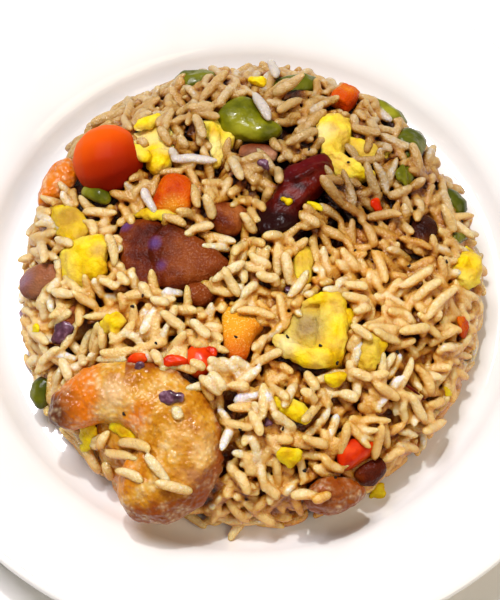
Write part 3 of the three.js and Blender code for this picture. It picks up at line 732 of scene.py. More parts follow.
for node in numbered("prawn"):
    serve(f"fried_{node}", moulded(lumps_of(node, prawn_shapes), voxel=0.34, rounds=16), prawn, "prawn", node,
          swell=lambda p, n: 0.35 + 0.25 * ripple(p, 4, 2) + 0.22 * ripple(p, 1.3, 2), paint=prawn_marks)


# ---------- the rice ----------
# Long-grain rice, boiled and then fried in oil and soy: each grain pale to golden and slightly clear,
# most of them 8 to 10 mm long. It is spooned out as a loose heap with the toppings half sunk in it.
random = np.random.default_rng(17)
cell = 0.25  # of the height map that the grains come to rest on
half = 66.0  # the side of the map
half_thick = 0.43  # of a grain, as a share of its width
bluntness = 3.3  # of a grain's ends; 2 is a plain ellipse
top_layer = 1.2  # of grains over the bare heap, thinning out at its foot
ticks = np.arange(-half, half, cell) + cell / 2
map_x, map_y = np.meshgrid(ticks, ticks, indexing="ij")
wanted, inside = heap_top(map_x, map_y)
wanted = np.where(inside < 1, wanted + top_layer * np.sqrt(1 - np.minimum(1, inside) ** 6), 0)

# The toppings' upper and lower sides, read by plumb lines every cell.
top_side = np.full(map_x.shape, -1.0)
under_side = np.full(map_x.shape, 99.0)
for piece in toppings:
    points, faces = points_and_faces(piece)
    tree = BVHTree.FromPolygons(points.tolist(), faces)
    low = np.maximum(0, ((points.min(0)[:2] + half) / cell).astype(int) - 1)
    high = np.minimum(len(ticks) - 1, ((points.max(0)[:2] + half) / cell).astype(int) + 2)
    for i in range(low[0], high[0]):
        for j in range(low[1], high[1]):
            hit = tree.ray_cast((ticks[i], ticks[j], 60), (0, 0, -1))[0]
            if hit:
                top_side[i, j] = max(top_side[i, j], hit.z)
                under = tree.ray_cast((ticks[i], ticks[j], 0), (0, 0, 1))[0]
                under_side[i, j] = min(under_side[i, j], under.z)
topped = top_side > 0


def spread(field, steps, keep):
    """A field of 0 to 1 grown outwards, each step of a cell weaker by keep."""
    for _ in range(steps):
        beside = [np.roll(field, way, axis) for way in (-1, 1) for axis in (0, 1)]
        field = np.maximum(field, keep * np.maximum.reduce(beside))
    return field


# The rice lies 1.4 mm higher right beside a topping and level 6 mm away from it. All over it is clumpy,
# and between the clumps it has deep pockets.
banked = spread(topped.astype(float), 24, 0.94)
wanted = wanted + np.where(inside < 0.94, 1.9 * np.clip(banked, 0.25, 1) - 0.5, 0)
clump_size, clump_rise, pocket_depth = 7.5, 1.1, 3.4
flat_map = np.stack([map_x.ravel(), map_y.ravel(), 0 * map_x.ravel()], -1)
clumps = clump_rise * ripple(flat_map, clump_size, 2).reshape(map_x.shape)
wanted = wanted + np.where(inside < 0.95, clumps, 0)
pockets = [  # x, y, radius
    (-22.5, 21.5, 2.4), (-11.5, 20.0, 2.6), (1.5, 6.0, 2.4), (-1.0, 29.0, 3.0), (13.0, -31.5, 3.2),
    (44.5, 12.5, 3.4), (37.0, 5.0, 2.6), (-16.0, -11.0, 2.0), (-4.5, 1.5, 2.2), (-4.8, -37.5, 3.0),
    (-5.5, -50.0, 3.2), (24.5, 14.0, 2.2), (22.0, 10.0, 2.0), (5.0, -42.0, 2.4), (40.0, -20.0, 2.0),
    (-41.0, -21.0, 2.2), (26.0, -2.0, 1.8), (14.0, 4.0, 2.2),
]
for _ in range(60):
    angle, share = random.uniform(0, 2 * math.pi), 0.93 * math.sqrt(random.random())
    x, y = share * reach_x * math.cos(angle), share * reach_y * math.sin(angle)
    pockets.append((x, y, random.uniform(1.3, 2.1)))
pockets += [(random.uniform(4, 46), random.uniform(-6, 46), random.uniform(1.6, 2.5)) for _ in range(22)]
for x, y, radius in pockets:
    wanted = wanted - pocket_depth * np.exp(-((map_x - x) ** 2 + (map_y - y) ** 2) / radius**2)
# Inside the big prawn's curl it is heaped up.
wanted = wanted + 2.6 * np.exp(-((map_x + 35) ** 2 + (map_y + 44) ** 2) / 9**2)

# Under the loose grains the rice is packed: a core, over which the map starts.
core_inset, loose_layer = 4.0, 3.2  # how far the core lies in from the heap's side, and from its top
core_share = heap_top(map_x, map_y, core_inset)[1]
core_dome = floor + 40 * np.sqrt(1 - core_share**4)  # high enough to bound the core only near its rim
core_top = np.minimum(np.minimum(wanted - loose_layer, core_dome), np.where(topped, under_side + 0.3, 99))
core_foot = 4.05  # just over the plate's well
ground = np.interp(np.hypot(map_x, map_y), [63, 65.5, 69], [4.0, 5.4, 9.2])  # the plate's well and cove
surface = np.where(core_share < 1, np.maximum(core_top, ground), ground)


def at(x, y):
    """Indices in the height map."""
    return (
        np.clip(((np.asarray(x) + half) / cell).astype(int), 0, len(ticks) - 1),
        np.clip(((np.asarray(y) + half) / cell).astype(int), 0, len(ticks) - 1),
    )


def girth(u):
    """A grain's thickness along its length, from -1 to 1."""
    return np.clip(1 - np.abs(u) ** bluntness, 0, 1) ** 0.5


span = np.linspace(-1, 1, 9)
left, right = np.meshgrid(np.arange(4), np.arange(5, 9), indexing="ij")
left, right = left.ravel(), right.ravel()
grains = []  # x, y, z, yaw, pitch, length, width, bend, roll, tone, soy and painted shade
tone_column, soy_and_shade_column = 9, 10


def settle(x, y, yaw, length, width, sink=0.5):
    """Lets a grain down on the map. Gives its middle's height, its slope, how much of it lies on toppings,
    and how far out it reaches."""
    along = span * (length / 2 - 0.4 * width)
    px = x + along * math.cos(yaw)
    py = y + along * math.sin(yaw)
    rows, columns = [], []
    for off in (-0.5, 0, 0.5):
        i, j = at(px - off * width * 0.6 * math.sin(yaw), py + off * width * 0.6 * math.cos(yaw))
        rows.append(i)
        columns.append(j)
    bed = surface[np.array(rows), np.array(columns)].max(0) + (half_thick - sink) * width * girth(span * 0.86)
    edge = (bed[left] * along[right] - bed[right] * along[left]) / (along[right] - along[left])
    best = int(edge.argmax())
    if bed[4] > edge[best]:
        low = np.max((bed[5:] - bed[4]) / along[5:])
        high = np.min((bed[:4] - bed[4]) / along[:4])
        slope = min(max(0.0, low), high)
        middle = bed[4]
    else:
        a, b = left[best], right[best]
        slope = (bed[b] - bed[a]) / (along[b] - along[a])
        middle = edge[best]
    return middle, slope, topped[rows[1], columns[1]].mean(), inside[rows[1], columns[1]].max()


def stamp(x, y, z, yaw, slope, length, width, bend):
    """Adds a grain's upper side to the map."""
    pitch = math.atan(slope)
    reach = math.cos(pitch) * length / 2 + 0.4 * width * abs(math.sin(pitch))
    i0, j0 = at(x - reach - 1, y - reach - 1)
    i1, j1 = at(x + reach + 1, y + reach + 1)
    dx = map_x[i0:i1, j0:j1] - x
    dy = map_y[i0:i1, j0:j1] - y
    u = dx * math.cos(yaw) + dy * math.sin(yaw)
    v = dy * math.cos(yaw) - dx * math.sin(yaw) - bend * (u * u / length - length / 12) / 2
    thick = girth(u / reach)
    over = 1 - (v / np.maximum(0.01, thick * width / 2)) ** 2
    top = z + slope * u + half_thick * width * thick * np.sqrt(np.maximum(0, over))
    patch = surface[i0:i1, j0:j1]
    patch[:] = np.where(over > 0, np.maximum(patch, top), patch)


def lay(x, y, z, yaw, slope, length, width, bend, tone=None):
    """Adds a grain and stamps it on the map."""
    roll = random.uniform(-0.5, 0.5)
    if tone is None:
        tone = 0.28 + 0.44 * random.random() + (0.13 if random.random() < 0.12 else 0)
    grains.append((x, y, z, yaw, math.atan(slope), length, width, bend, roll, tone, 0))
    stamp(x, y, z, yaw, slope, length, width, bend)


def grain_size():
    """Length, width and bend of a grain; one in five is broken short."""
    length = random.uniform(5, 7) if random.random() < 0.2 else np.clip(random.normal(9.0, 0.9), 7.5, 11)
    return length, random.uniform(2.15, 2.75), random.normal(0, 0.4)


surface = np.where(topped, np.maximum(surface, top_side), surface)
allowed = (inside < 0.975) & ~topped
steepest = 1.1  # slope on which a grain still lies


def pour():
    """Lays grains where the map is furthest below the wanted height, each the lowest of three tries."""
    for _ in range(400):
        lack = np.where(allowed, np.clip(wanted - surface, 0, 6), 0)
        lack[lack < 0.7] = 0
        total = lack.sum()
        if total * cell * cell < 60:  # cubic mm
            break
        for pick in random.choice(lack.size, 24, p=(lack / total).ravel()):
            i, j = divmod(int(pick), lack.shape[1])
            if wanted[i, j] - surface[i, j] < 0.6:
                continue
            best = None
            for _ in range(3):
                length, width, bend = grain_size()
                yaw = random.uniform(0, math.pi)
                z, slope, on_topping, out = settle(ticks[i], ticks[j], yaw, length, width)
                slope += random.normal(0, 0.34)
                if abs(slope) > steepest or out > 1 or on_topping > 0.5:
                    continue
                if best is None or z < best[0]:
                    best = (z, yaw, slope, length, width, bend)
            if best and best[0] - wanted[i, j] < 0.5:
                lay(ticks[i], ticks[j], *best)


pour()

# In the pits that are left, and here and there between the others, grains stand on end.
for _ in range(2600):
    r = math.sqrt(random.random()) * 0.97
    a = random.uniform(0, 2 * math.pi)
    x, y = r * reach_x * math.cos(a), r * reach_y * math.sin(a)
    i, j = at(x, y)
    if not allowed[i, j] or (wanted[i, j] - surface[i, j] < 1.5 and random.random() > 0.1):
        continue
    length, width, bend = grain_size()
    slope = math.tan(math.radians(random.uniform(42, 80)))
    yaw = random.uniform(0, 2 * math.pi)
    tip = wanted[i, j] + random.uniform(-1.0, 0.9)
    lay(x, y, tip - 0.5 * length * math.sin(math.atan(slope)), yaw, slope, length, width, bend)

# Down the side of the heap they lie against the wall of the core, mostly level.
side_gap, height_gap = 5.8, 2.3  # between their middles, along the heap's edge and up its side
side_grains = []
for _ in range(6000):
    angle, z = random.uniform(0, 2 * math.pi), random.uniform(5.4, 18)
    reach = heap_reach(angle) * (1 - ((z - floor) / heap_height) ** 2) ** 0.25 - 1.2
    x, y = reach * math.cos(angle), reach * math.sin(angle)
    i, j = at(x, y)
    crowded = any(
        math.hypot(reach * math.remainder(angle - other_angle, 2 * math.pi) / side_gap,
                   (z - other_z) / height_gap) < 1
        for other_angle, other_z in side_grains)
    if crowded or (topped[i, j] and under_side[i, j] < z + 1):
        continue
    side_grains.append((angle, z))
    length, width, bend = grain_size()
    yaw = angle + math.pi / 2 + random.normal(0, 0.3)
    lay(x, y, z, yaw, random.normal(0, 0.35), length, width, bend)

# The grains that lie on top of all: where the two ends are, from above, and how pale the grain is.
last_grains = [
    (-31.5, -44.1, -22.1, -48.5, 0.55), (-34.6, -45.6, -25.2, -50.1, 0.6),
    (-23.9, -49.5, -18.2, -56.5, 0.95), (-21.8, -56.4, -12.8, -57.6, 0.95),
    (-31.1, -51.8, -24.2, -55.1, 0.95), (-39.6, -43.6, -35.3, -49.3, 0.9),
    (-34.3, -47.1, -32.8, -51.3, 0.7), (-35.9, -45.7, -32.9, -41.7, 0.75),
    (-44.7, -24.3, -42.1, -30.4, 0.9), (-35.3, -25.1, -26.9, -25.1, 0.55),
    (-17.5, -39.1, -15.9, -42.3, 0.95), (-11.8, -31.8, -6.5, -36.3, 0.9), (-13.9, -28.9, -10.2, -30.5, 0.7),
    (-22.8, -25.2, -20.5, -28.9, 0.8), (-19.2, 24.5, -7.8, 24.6, 1), (-12.8, 35.8, -12.0, 28.3, 0.8),
    (-4.9, 25.0, -1.7, 17.1, 0.95), (1.0, 43.1, 4.9, 34.4, 1), (-3.5, 46.4, -8.1, 39.1, 0.9),
    (-15.6, 39.3, -8.4, 39.0, 0.6), (-12.5, 43.0, -5.6, 51.2, 0.6), (5.5, 43.4, 13.8, 47.5, 0.7),
    (6.4, 37.3, 13.2, 44.0, 0.7), (5.1, 56.3, 6.8, 48.6, 1), (8.5, 28.0, 16.7, 32.5, 0.7),
    (12.2, 27.0, 16.6, 26.1, 0.85), (6.6, 23.2, 7.3, 16.7, 0.85), (29.1, 38.2, 31.6, 32.1, 0.85),
    (24.7, 35.0, 32.1, 32.1, 0.6), (16.9, 16.5, 23.0, 17.6, 0.4), (19.3, 14.0, 27.0, 10.1, 0.5),
    (33.5, 15.6, 39.6, 18.8, 0.8), (27.9, 10.3, 36.8, 10.4, 0.6), (27.7, 8.5, 30.1, 2.1, 0.55),
    (-10.8, 13.2, -8.6, 7.6, 0.75), (-14.8, 5.0, -8.6, 6.7, 0.8), (-2.4, 9.0, 1.7, 4.8, 0.75),
    (-0.7, 2.5, -4.3, -3.0, 0.7), (-40.8, 12.3, -31.9, 11.4, 0.75), (-35.6, -7.8, -30.7, -9.8, 0.8),
    (-31.3, -6.2, -28.4, -9.4, 0.75), (-47.5, -8.8, -40.9, -10.7, 0.9), (-26.1, -8.1, -23.0, -12.5, 0.8),
    (-9.0, -8.7, -1.2, -3.5, 0.9), (-2.4, -12.1, 1.9, -7.6, 0.9), (-0.5, -1.6, 5.2, -4.5, 0.85),
    (1.2, -6.9, 7.1, -7.4, 0.8), (-3.3, -15.1, 6.1, -16.5, 0.75), (-6.6, -5.5, -2.4, -12.0, 0.75),
    (2.9, 2.5, 8.3, 3.9, 0.75), (8.3, -1.1, 9.4, -8.7, 0.85), (0.5, -27.6, 7.9, -25.4, 0.7),
    (12.8, -29.6, 15.8, -34.5, 0.6), (-9.3, -31.0, -5.5, -35.5, 0.9), (-5.1, -33.2, 0.0, -33.8, 0.7),
    (11.6, -34.6, 15.8, -36.7, 0.8), (23.0, -27.1, 23.7, -32.0, 0.8), (24.0, -16.5, 28.8, -13.6, 0.8),
    (23.4, -19.6, 28.5, -23.3, 0.7), (20.4, -34.3, 25.2, -36.0, 0.9), (45.2, -22.8, 53.9, -25.2, 0.9),
    (34.8, -20.2, 42.7, -17.9, 0.7), (37.6, -33.1, 41.7, -39.0, 0.75), (28.4, -32.2, 35.2, -35.1, 0.7),
    (23.2, -29.8, 28.4, -31.6, 0.7), (35.6, -8.8, 43.6, -3.3, 0.8), (38.4, -11.2, 45.4, -6.5, 0.75),
    (41.4, -15.9, 49.2, -6.9, 0.8), (21.2, -12.1, 28.4, -12.6, 0.7), (22.5, -8.2, 28.0, -9.1, 0.7),
    (0.0, -39.2, 2.8, -45.9, 0.75), (11.5, -45.4, 18.6, -46.4, 0.75), (16.2, -49.2, 22.2, -51.6, 0.85),
    (34.1, -43.0, 41.0, -43.0, 0.75), (30.6, -47.4, 36.8, -44.1, 0.7), (9.3, -57.2, 16.4, -57.4, 0.8),
    (2.3, -53.7, 7.0, -57.3, 0.75), (14.3, -59.3, 18.8, -57.0, 0.7), (-3.2, -51.7, 0.0, -57.3, 0.7),
    (40.6, -41.1, 47.4, -35.4, 0.8), (-47.3, 5.8, -42.1, 2.1, 0.85), (-33.6, 4.0, -31.8, -3.8, 0.75),
    (-38.7, 9.6, -37.0, 4.5, 0.7), (-54.1, 5.1, -45.8, -0.2, 0.8), (-54.0, -13.8, -47.9, -20.7, 0.8),
    (-50.6, -24.3, -44.8, -21.4, 0.85), (-42.4, -10.4, -35.5, -13.3, 0.8),
    (-23.5, -12.7, -18.8, -14.1, 0.85), (-21.0, -16.0, -15.2, -20.1, 0.75),
    (-14.1, -17.5, -9.3, -22.3, 0.85), (16.8, 7.2, 22.8, 3.8, 0.6), (21.5, 1.2, 26.1, -4.2, 0.6),
    (12.0, 6.2, 18.0, 8.0, 0.5), (39.7, 30.8, 41.9, 23.7, 0.6), (46.6, 14.6, 50.1, 8.4, 0.7),
    (-27.5, 31.5, -25.2, 29.1, 0.8), (-22.4, 33.7, -19.3, 28.7, 0.75), (-17.6, 30.9, -15.2, 27.7, 0.8),
    (-13.6, 36.1, -11.0, 29.4, 0.85), (16.4, 17.1, 22.8, 11.2, 0.75), (11.7, 9.1, 16.8, 6.3, 0.7),
    (-51.3, 7.2, -49.0, -1.5, 0.85),
]
steepest = 0.8  # these lie flatter
for x1, y1, x2, y2, tone in last_grains:
    length = math.hypot(x2 - x1, y2 - y1)
    yaw = math.atan2(y2 - y1, x2 - x1)
    x, y = (x1 + x2) / 2, (y1 + y2) / 2
    width = random.uniform(2.4, 2.8)
    z, slope, _, _ = settle(x, y, yaw, length, width, 0.42)
    z -= max(0, abs(slope) - steepest) * length / 4  # where it is too steep to lie, it slips down
    slope = np.clip(slope, -steepest, steepest)
    paleness = 0.95 if tone == 1 else 0.08 + 0.58 * tone
    lay(x, y, z, yaw, slope, length * math.hypot(1, slope) ** 0.5, width, random.normal(0, 0.3), paleness)


def wedge(start, end):
    """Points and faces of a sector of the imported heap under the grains, between two angles. Its top is drawn
    in rings about a point inside it, and it overlaps its neighbours a little."""
    angles = np.linspace(start - 0.02, end + 0.02, 90)
    reach = heap_reach(angles, core_inset)
    middle = 27 * np.array([math.cos((start + end) / 2), math.sin((start + end) / 2)])
    apex = -0.012 * middle
    rim = 0.998 * np.stack([reach * np.cos(angles), reach * np.sin(angles)], -1)
    sides = np.linspace(0, 1, 60)[1:, None]
    outline = np.vstack([rim, rim[-1] + (apex - rim[-1]) * sides, (apex + (rim[0] - apex) * sides)[:-1]])
    shares = np.linspace(1, 0, 50)[:-1, None, None]
    flat = middle + (outline - middle) * shares
    height = core_top[at(flat[..., 0], flat[..., 1])]
    rings = np.concatenate([flat, height[..., None]], -1)
    foot = rings[:1] * (1, 1, 0) + (0, 0, core_foot)
    return capped(np.vstack([foot, rings]), (*middle, core_foot), (*middle, rings[-1, :, 2].mean()))


grain_rings, grain_sides = 11, 8  # of a grain's mesh, before it is fused with the others


def grain_skins(rows):
    """Points and faces of many grains, and their middle lines."""
    x, y, z, yaw, pitch, length, width, bend, roll = rows.T[:9]
    count = len(rows)
    t = -np.cos((np.arange(grain_rings) + 0.75) * math.pi / (grain_rings + 0.5))
    t = np.concatenate([[-1.0], t, [1.0]])
    around = np.arange(grain_sides) * 2 * math.pi / grain_sides
    wave = random.uniform(0, 2 * math.pi, (count, 4))
    swell = 1 + 0.04 * np.sin(3.1 * t[None] + wave[:, :1]) + 0.02 * np.sin(7.3 * t[None] + wave[:, 1:2])
    taper = 1 - 0.14 * t[None] * np.cos(wave[:, 2:3])
    radius = girth(t)[None] * swell * taper
    forward = np.stack([np.cos(pitch) * np.cos(yaw), np.cos(pitch) * np.sin(yaw), np.sin(pitch)], -1)
    side = np.stack([-np.sin(yaw), np.cos(yaw), 0 * yaw], -1)
    up = np.cross(forward, side)
    across = side * np.cos(roll)[:, None] + up * np.sin(roll)[:, None]
    lift = np.cross(forward, across)
    curve = bend[:, None] * length[:, None] * (t[None] ** 2 / 4 - 1 / 12) / 2
    wriggle = 0.18 * np.sin(4.5 * t[None] + wave[:, 3:4])
    centre = (np.stack([x, y, z], -1)[:, None] + forward[:, None] * (t[None] * length[:, None] / 2)[..., None]
              + across[:, None] * curve[..., None] + lift[:, None] * wriggle[..., None])
    ring = slice(1, -1)
    wide = radius[:, ring, None] * np.cos(around) * (width[:, None, None] / 2)
    tall = radius[:, ring, None] * np.sin(around) * (width[:, None, None] * half_thick)
    body = (centre[:, ring, None] + across[:, None, None] * wide[..., None]
            + lift[:, None, None] * tall[..., None])
    points = np.concatenate([centre[:, :1], body.reshape(count, -1, 3), centre[:, -1:]], 1)
    per = points.shape[1]
    faces = []
    last = 1 + (grain_rings - 1) * grain_sides
    for k in range(grain_sides):
        m = (k + 1) % grain_sides
        faces.append((0, 1 + m, 1 + k))
        faces.append((per - 1, last + k, last + m))
        for r in range(grain_rings - 1):
            here = 1 + r * grain_sides
            faces.append((here + k, here + m, here + grain_sides + m, here + grain_sides + k))
    every = [[v + start for v in face] for start in range(0, count * per, per) for face in faces]
    return (points.reshape(-1, 3), every), centre


# Boiled starch fried in oil: half clear, so light goes a few mm in, cloudy inside each grain, with an oily
# shine. The soy stains it from cream over gold to brown; brown and khaki are also painted on as shade.
rice = new_material("fried_rice_grain")
where = add_node(rice, "TexCoord").outputs["Object"]
tone = add_node(rice, "Attribute", attribute_name="tone")
cloud = add_node(rice, "TexNoise", {"Vector": where, "Scale": scale_of(1.25), "Detail": 4.0})
mixed = add_node(
    rice, "Math", {0: cloud.outputs[0], 1: 0.5, 2: tone.outputs["Fac"]}, operation="MULTIPLY_ADD")
plain = add_node(rice, "ValToRGB", {0: mixed.outputs[0]}, stops=[
    (0.2, "#D8A854"), (0.45, "#E3BA6E"), (0.7, "#EBC984"), (0.92, "#F0DAAE"), (1.0, "#F2ECEA")])
sauce_and_shade = add_node(rice, "Attribute", attribute_name="sauce_and_shade")
sauce_and_shade_ramp = add_node(rice, "ValToRGB", {0: sauce_and_shade.outputs["Fac"]}, stops=[
    (0.05, "#FFFFFF"), (0.33, "#F2D278"), (0.58, "#D09228"), (0.8, "#8C4A0A"), (1.0, "#3C1602")])
golden = add_node(
    rice, "MixRGB", {0: 1.0, 1: plain.outputs[0], 2: sauce_and_shade_ramp.outputs[0]}, blend_type="MULTIPLY")
# khaki_shade darkens the upper and middle rice: painted shade
khaki_shaded = tinted(rice, golden, "khaki_shade", "#A6987A", "MULTIPLY")
fine = add_node(rice, "TexNoise", {"Vector": where, "Scale": scale_of(0.667), "Detail": 2.0})
skin = add_node(rice, "Bump", {"Height": fine.outputs[0], "Strength": 0.9, "Distance": 0.0006})
shade(rice, **{
    "Base Color": khaki_shaded.outputs[0], "Roughness": 0.34, "IOR": 1.42, "Specular IOR Level": 0.6,
    "Normal": skin.outputs[0],
    "Coat Weight": 0.7, "Coat Roughness": 0.14, "Coat IOR": 1.45, "Coat Normal": skin.outputs[0],
    "Subsurface Weight": 1.0, "Subsurface Radius": (0.0026, 0.0021, 0.0011),
})

level = surface.copy()  # of the finished heap, evened out over 9 cells, three times
for _ in range(3):
    for axis in (0, 1):
        level = sum(np.roll(level, step, axis) for step in range(-4, 5)) / 9


def rice_marks(points, normals, rows, lines, faces):
    """The tone of the nearest grain, lower on its sides; a brown that is the grain's soy and painted shade in
    the seams, hollows and on the sides of the grains; and a khaki painted shade over the upper and middle
    rice."""
    finder = KDTree(lines.shape[0] * lines.shape[1])
    for k, spot in enumerate(lines.reshape(-1, 3).tolist()):
        finder.insert(spot, k)
    finder.balance()
    owner, away, seam = [], [], []  # the nearest grain, how far its middle line is, and the next one's
    for spot in points.tolist():
        near = [(k // lines.shape[1], gap) for _, k, gap in finder.find_n(spot, 7)]
        owner.append(near[0][0])
        away.append(near[0][1])
        seam.append(next((gap for k, gap in near if k != near[0][0]), 9) - near[0][1])
    owner, away, seam = np.array(owner), np.array(away), np.array(seam)
    x, y, z = points.T
    hollow = (level[at(x, y)] - z) * np.clip((0.97 - inside[at(x, y)]) / 0.06, 0, 1)
    # Soy of the grain, plus painted shade: brown in hollows, more in the upper rice, in seams and on webs far
    # from a middle line.
    sauce_and_shade = (rows[owner, soy_and_shade_column] + (0.15 + 0.11 * np.clip(y / 30, 0, 1)) * np.clip(hollow, -0.6, 4)
             + 0.2 * np.clip(1 - seam / 0.6, 0, 1) + 0.5 * np.clip(away - 2, 0, 1))
    # Painted shade: the sides of a grain, which face away from the light above, get more brown and a lower
    # tone.
    flank = (1 - np.clip(normals[:, 2], 0, 1)) ** 1.4
    marks = np.stack([rows[owner, tone_column] - 0.1 * flank, sauce_and_shade + 0.46 * flank - 0.08], -1)
    marks = relax(marks, faces, 1)
    # Painted shade, dull khaki, over the upper rice and round (25, 17).
    khaki_shade = (0.54 * np.clip((y + 2) / 26 + 0.4 * ripple(points, 12), 0, 1)
            + 0.45 * np.exp(-((x - 25) ** 2 + (y - 17) ** 2) / 210))
    return {"tone": marks[:, 0], "sauce_and_shade": np.clip(marks[:, 1], 0, 1), "khaki_shade": khaki_shade}


rows = np.array(grains)
x, y = rows[:, 0], rows[:, 1]
flat_places = np.stack([x, y, 0 * x], -1)
whitest = rows[:, tone_column] > 0.94
# Soy per grain: at random and more on the right, and more on the upper rice as painted shade.
rows[:, soy_and_shade_column] = (
    0.06 + 0.12 * ripple(flat_places, 13, 2) + 0.05 * random.normal(0, 1, len(rows))
    + 0.05 * np.clip((x - y) / 50, 0, 1) + 0.08 * np.clip((y + 6) / 20, 0, 1)
) * np.where(whitest, 0.2, 1)
sauce_and_shade_spots = [  # x, y, how much darker the grains there are, as soy and as painted shade (under egg_3, beside egg_4), radius
    (34, 5, 0.16, 14), (15, -10, 0.18, 6), (6, -15, 0.25, 6), (-9, -12, 0.15, 4), (-37, -10, 0.22, 6),
    (10, -33, 0.28, 5), (-1, -7, -0.16, 7), (22, 13, 0.1, 8),
]
for spot_x, spot_y, amount, radius in sauce_and_shade_spots:
    rows[:, soy_and_shade_column] += amount * np.exp(-((x - spot_x) ** 2 + (y - spot_y) ** 2) / radius**2)
sectors = 5  # the heap is made as five joined pieces, each with the grains whose middle lies in it
sector = ((np.arctan2(y, x) + math.pi) / (2 * math.pi) * sectors).astype(int) % sectors
for k in range(sectors):
    start = -math.pi + k * 2 * math.pi / sectors
    mine = rows[sector == k]
    skins, lines = grain_skins(mine)
    points, faces = moulded([wedge(start, start + 2 * math.pi / sectors), skins], rounds=1, keep=0.42)
    piece = serve(f"rice_{k + 1}", (points, faces), rice, "rice",
                  swell=lambda p, n: 0.05 + 0.07 * ripple(p, 1.5, 2),
                  paint=lambda p, n: rice_marks(p, n, mine, lines, faces))
    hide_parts("rice")


# ---------- crumbs ----------
# What broke off in the wok lies about on the grains: crumbs of egg, carrot, pepper and red pepper,
# each uneven and of the same stuff as the larger pieces.
def crumb(x, y, length, width, yaw, height=0.75):
    """A small uneven lump, sunk in the rice by a third. yaw is in degrees, height a share of the width."""
    turn = math.radians(yaw)
    rise = np.linspace(math.pi, 0, 11)[:, None]
    around = np.arange(16) * 2 * math.pi / 16
    wobble = 1 + 0.2 * np.sin(2 * around + x) + 0.16 * np.sin(3 * around + y)
    u = np.sin(rise).clip(0) ** 0.8 * np.cos(around) * wobble * length / 2
    v = np.sin(rise).clip(0) ** 0.8 * np.sin(around) * wobble * width / 2
    px, py = x + u * math.cos(turn) - v * math.sin(turn), y + u * math.sin(turn) + v * math.cos(turn)
    i, j = at(x, y)
    bed = np.median(surface[i - 3 : i + 4, j - 3 : j + 4])
    slope_x = np.clip((heap_top(x + 1, y)[0] - heap_top(x - 1, y)[0]) / 2, -1, 1)
    slope_y = np.clip((heap_top(x, y + 1)[0] - heap_top(x, y - 1)[0]) / 2, -1, 1)
    pz = bed + slope_x * (px - x) + slope_y * (py - y) + height * width * (0.5 * np.cos(rise) + 0.17)
    rings = np.stack([px, py, pz], -1)
    return capped(rings[1:-1], rings[0, 0], rings[-1, 0])


crumb_places = {
    "egg": [(19.7, -31.7, 5, 3.8, 0), (-51.3, -16.5, 2.6, 2.4, 0), (9, -49.4, 5.5, 4.5, 20),
            (47.4, -30, 2.5, 2.2, 0), (30.6, -52.1, 5.5, 3, 20), (2.3, 49, 4.5, 4, 0),
            (-38.3, -42, 5.5, 4.5, 20), (-29.8, -42.1, 7, 3.6, -40), (8.9, 12.4, 2.6, 2.4, 0),
            (15.9, 11.8, 4.6, 2, -20), (54, 5.7, 2.5, 2, 0)],
    "carrot": [(51.2, -14.6, 4.2, 3.5, 80)],
    "pepper": [(51.4, 8.3, 3.8, 3.2, 30), (37.2, 21.4, 5.5, 3, 90)],
    "redpepper": [(-18.1, -28.1, 7, 3, 0), (-26.4, -27.5, 6.5, 2.4, 10), (30.7, 13.8, 3.5, 3.2, 60),
                  (-8.8, -25.4, 3, 2.2, 0)],
}
for kind, material in (("egg", egg), ("carrot", carrot), ("pepper", pepper), ("redpepper", red_pepper)):
    lumps = [crumb(*place) for place in crumb_places[kind]]
    serve(f"{kind}_crumbs", moulded(lumps, voxel=0.25, rounds=3), material, kind,
          swell=lambda p, n: 0.34 * ripple(p, 1.5, 2))


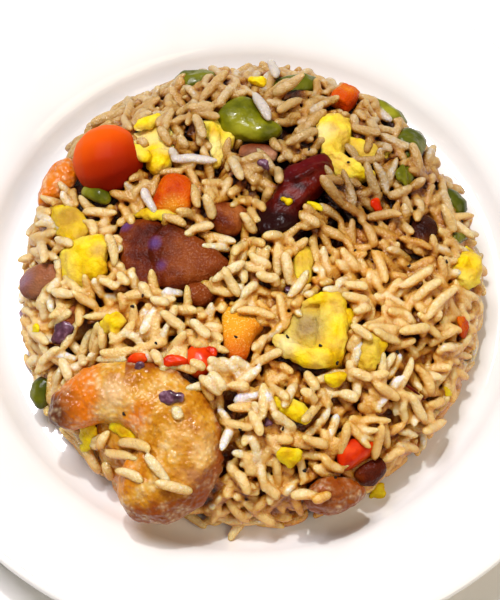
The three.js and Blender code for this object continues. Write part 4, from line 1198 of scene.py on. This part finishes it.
# ---------- red onion and black pepper ----------
# Shreds of red onion fried soft, one thread of chilli, and coarsely ground black pepper over everything.
# Chilli fried dark shines like the sausage's skin, so the thread is of the same material.
# Fried onion: purple at the edges of its layers and washed-out pink inside, wet and glossy.
onion = new_material("fried_red_onion")
where = add_node(onion, "TexCoord").outputs["Object"]
layers = add_node(onion, "TexNoise", {"Vector": where, "Scale": scale_of(2.5), "Detail": 3.0})
purple = add_node(onion, "ValToRGB", {0: layers.outputs[0]}, stops=[
    (0.35, "#3E1626"), (0.5, "#64384C"), (0.7, "#B088A0")])
shade(onion, **{
    "Base Color": purple.outputs[0], "Roughness": 0.35, "IOR": 1.42, "Coat Weight": 0.5,
    "Coat Roughness": 0.1,
    "Subsurface Weight": 0.2, "Subsurface Radius": (0.001, 0.0006, 0.0008),
})
onion_places = [(-44.8, -17.6, 6, 4.6, -10), (-25.7, -29.3, 3, 2, 10), (3.4, 22.6, 3.2, 2.5, -20),
                (4.1, -41.7, 2.2, 1.8, 0), (-56.1, -6, 3, 2.2, 0), (-18.2, -37.3, 5.2, 3.6, -15),
                (9.2, -9.8, 2, 1.8, 0)]
shreds = [crumb(*place, 0.6) for place in onion_places]
serve("red_onion", moulded(shreds, voxel=0.2, rounds=3), onion, "sausage",
      swell=lambda p, n: 0.3 * ripple(p, 1.3, 2))

chilli = strand([(35.9, -30.9, 0.7, 0.5), (38.4, -32.0, 0.9, 0.7), (41.4, -33.5, 0.6, 0.5)], 0.8, 8, 16)
serve("chilli_thread", chilli, cured, "sausage")

# Ground peppercorns: dull black husk with brown crumbs of the inside.
black_pepper = new_material("ground_black_pepper")
where = add_node(black_pepper, "TexCoord").outputs["Object"]
husk = add_node(black_pepper, "TexNoise", {"Vector": where, "Scale": scale_of(0.5), "Detail": 2.0})
black = add_node(black_pepper, "ValToRGB", {0: husk.outputs[0]}, stops=[(0.4, "#0D0806"), (0.7, "#33261C")])
shade(black_pepper, **{"Base Color": black.outputs[0], "Roughness": 0.6, "Specular IOR Level": 0.3})
speck_places = [
    (43.1, 22.0), (52.2, 12.8), (19.8, -53.0), (7.6, -43.3), (23.8, 22.9), (-21.9, -23.4), (8.7, -22.1),
    (14.4, 27.0), (-25.2, -11.7), (-27.5, -14.8), (20.2, -28.1), (-29.1, -40.0), (38.2, -1.6), (47.2, -0.8),
    (-3.3, -21.9), (16.3, -24.5), (34.7, -23.8), (12.7, -51.6), (-2.3, -43.7), (25.1, 1.1),
]
specks = [crumb(x, y, *random.uniform(0.6, 1.1, 2), 57 * x, 0.9) for x, y in speck_places]
serve("black_pepper", moulded(specks, voxel=0.12, rounds=1), black_pepper, "sausage")
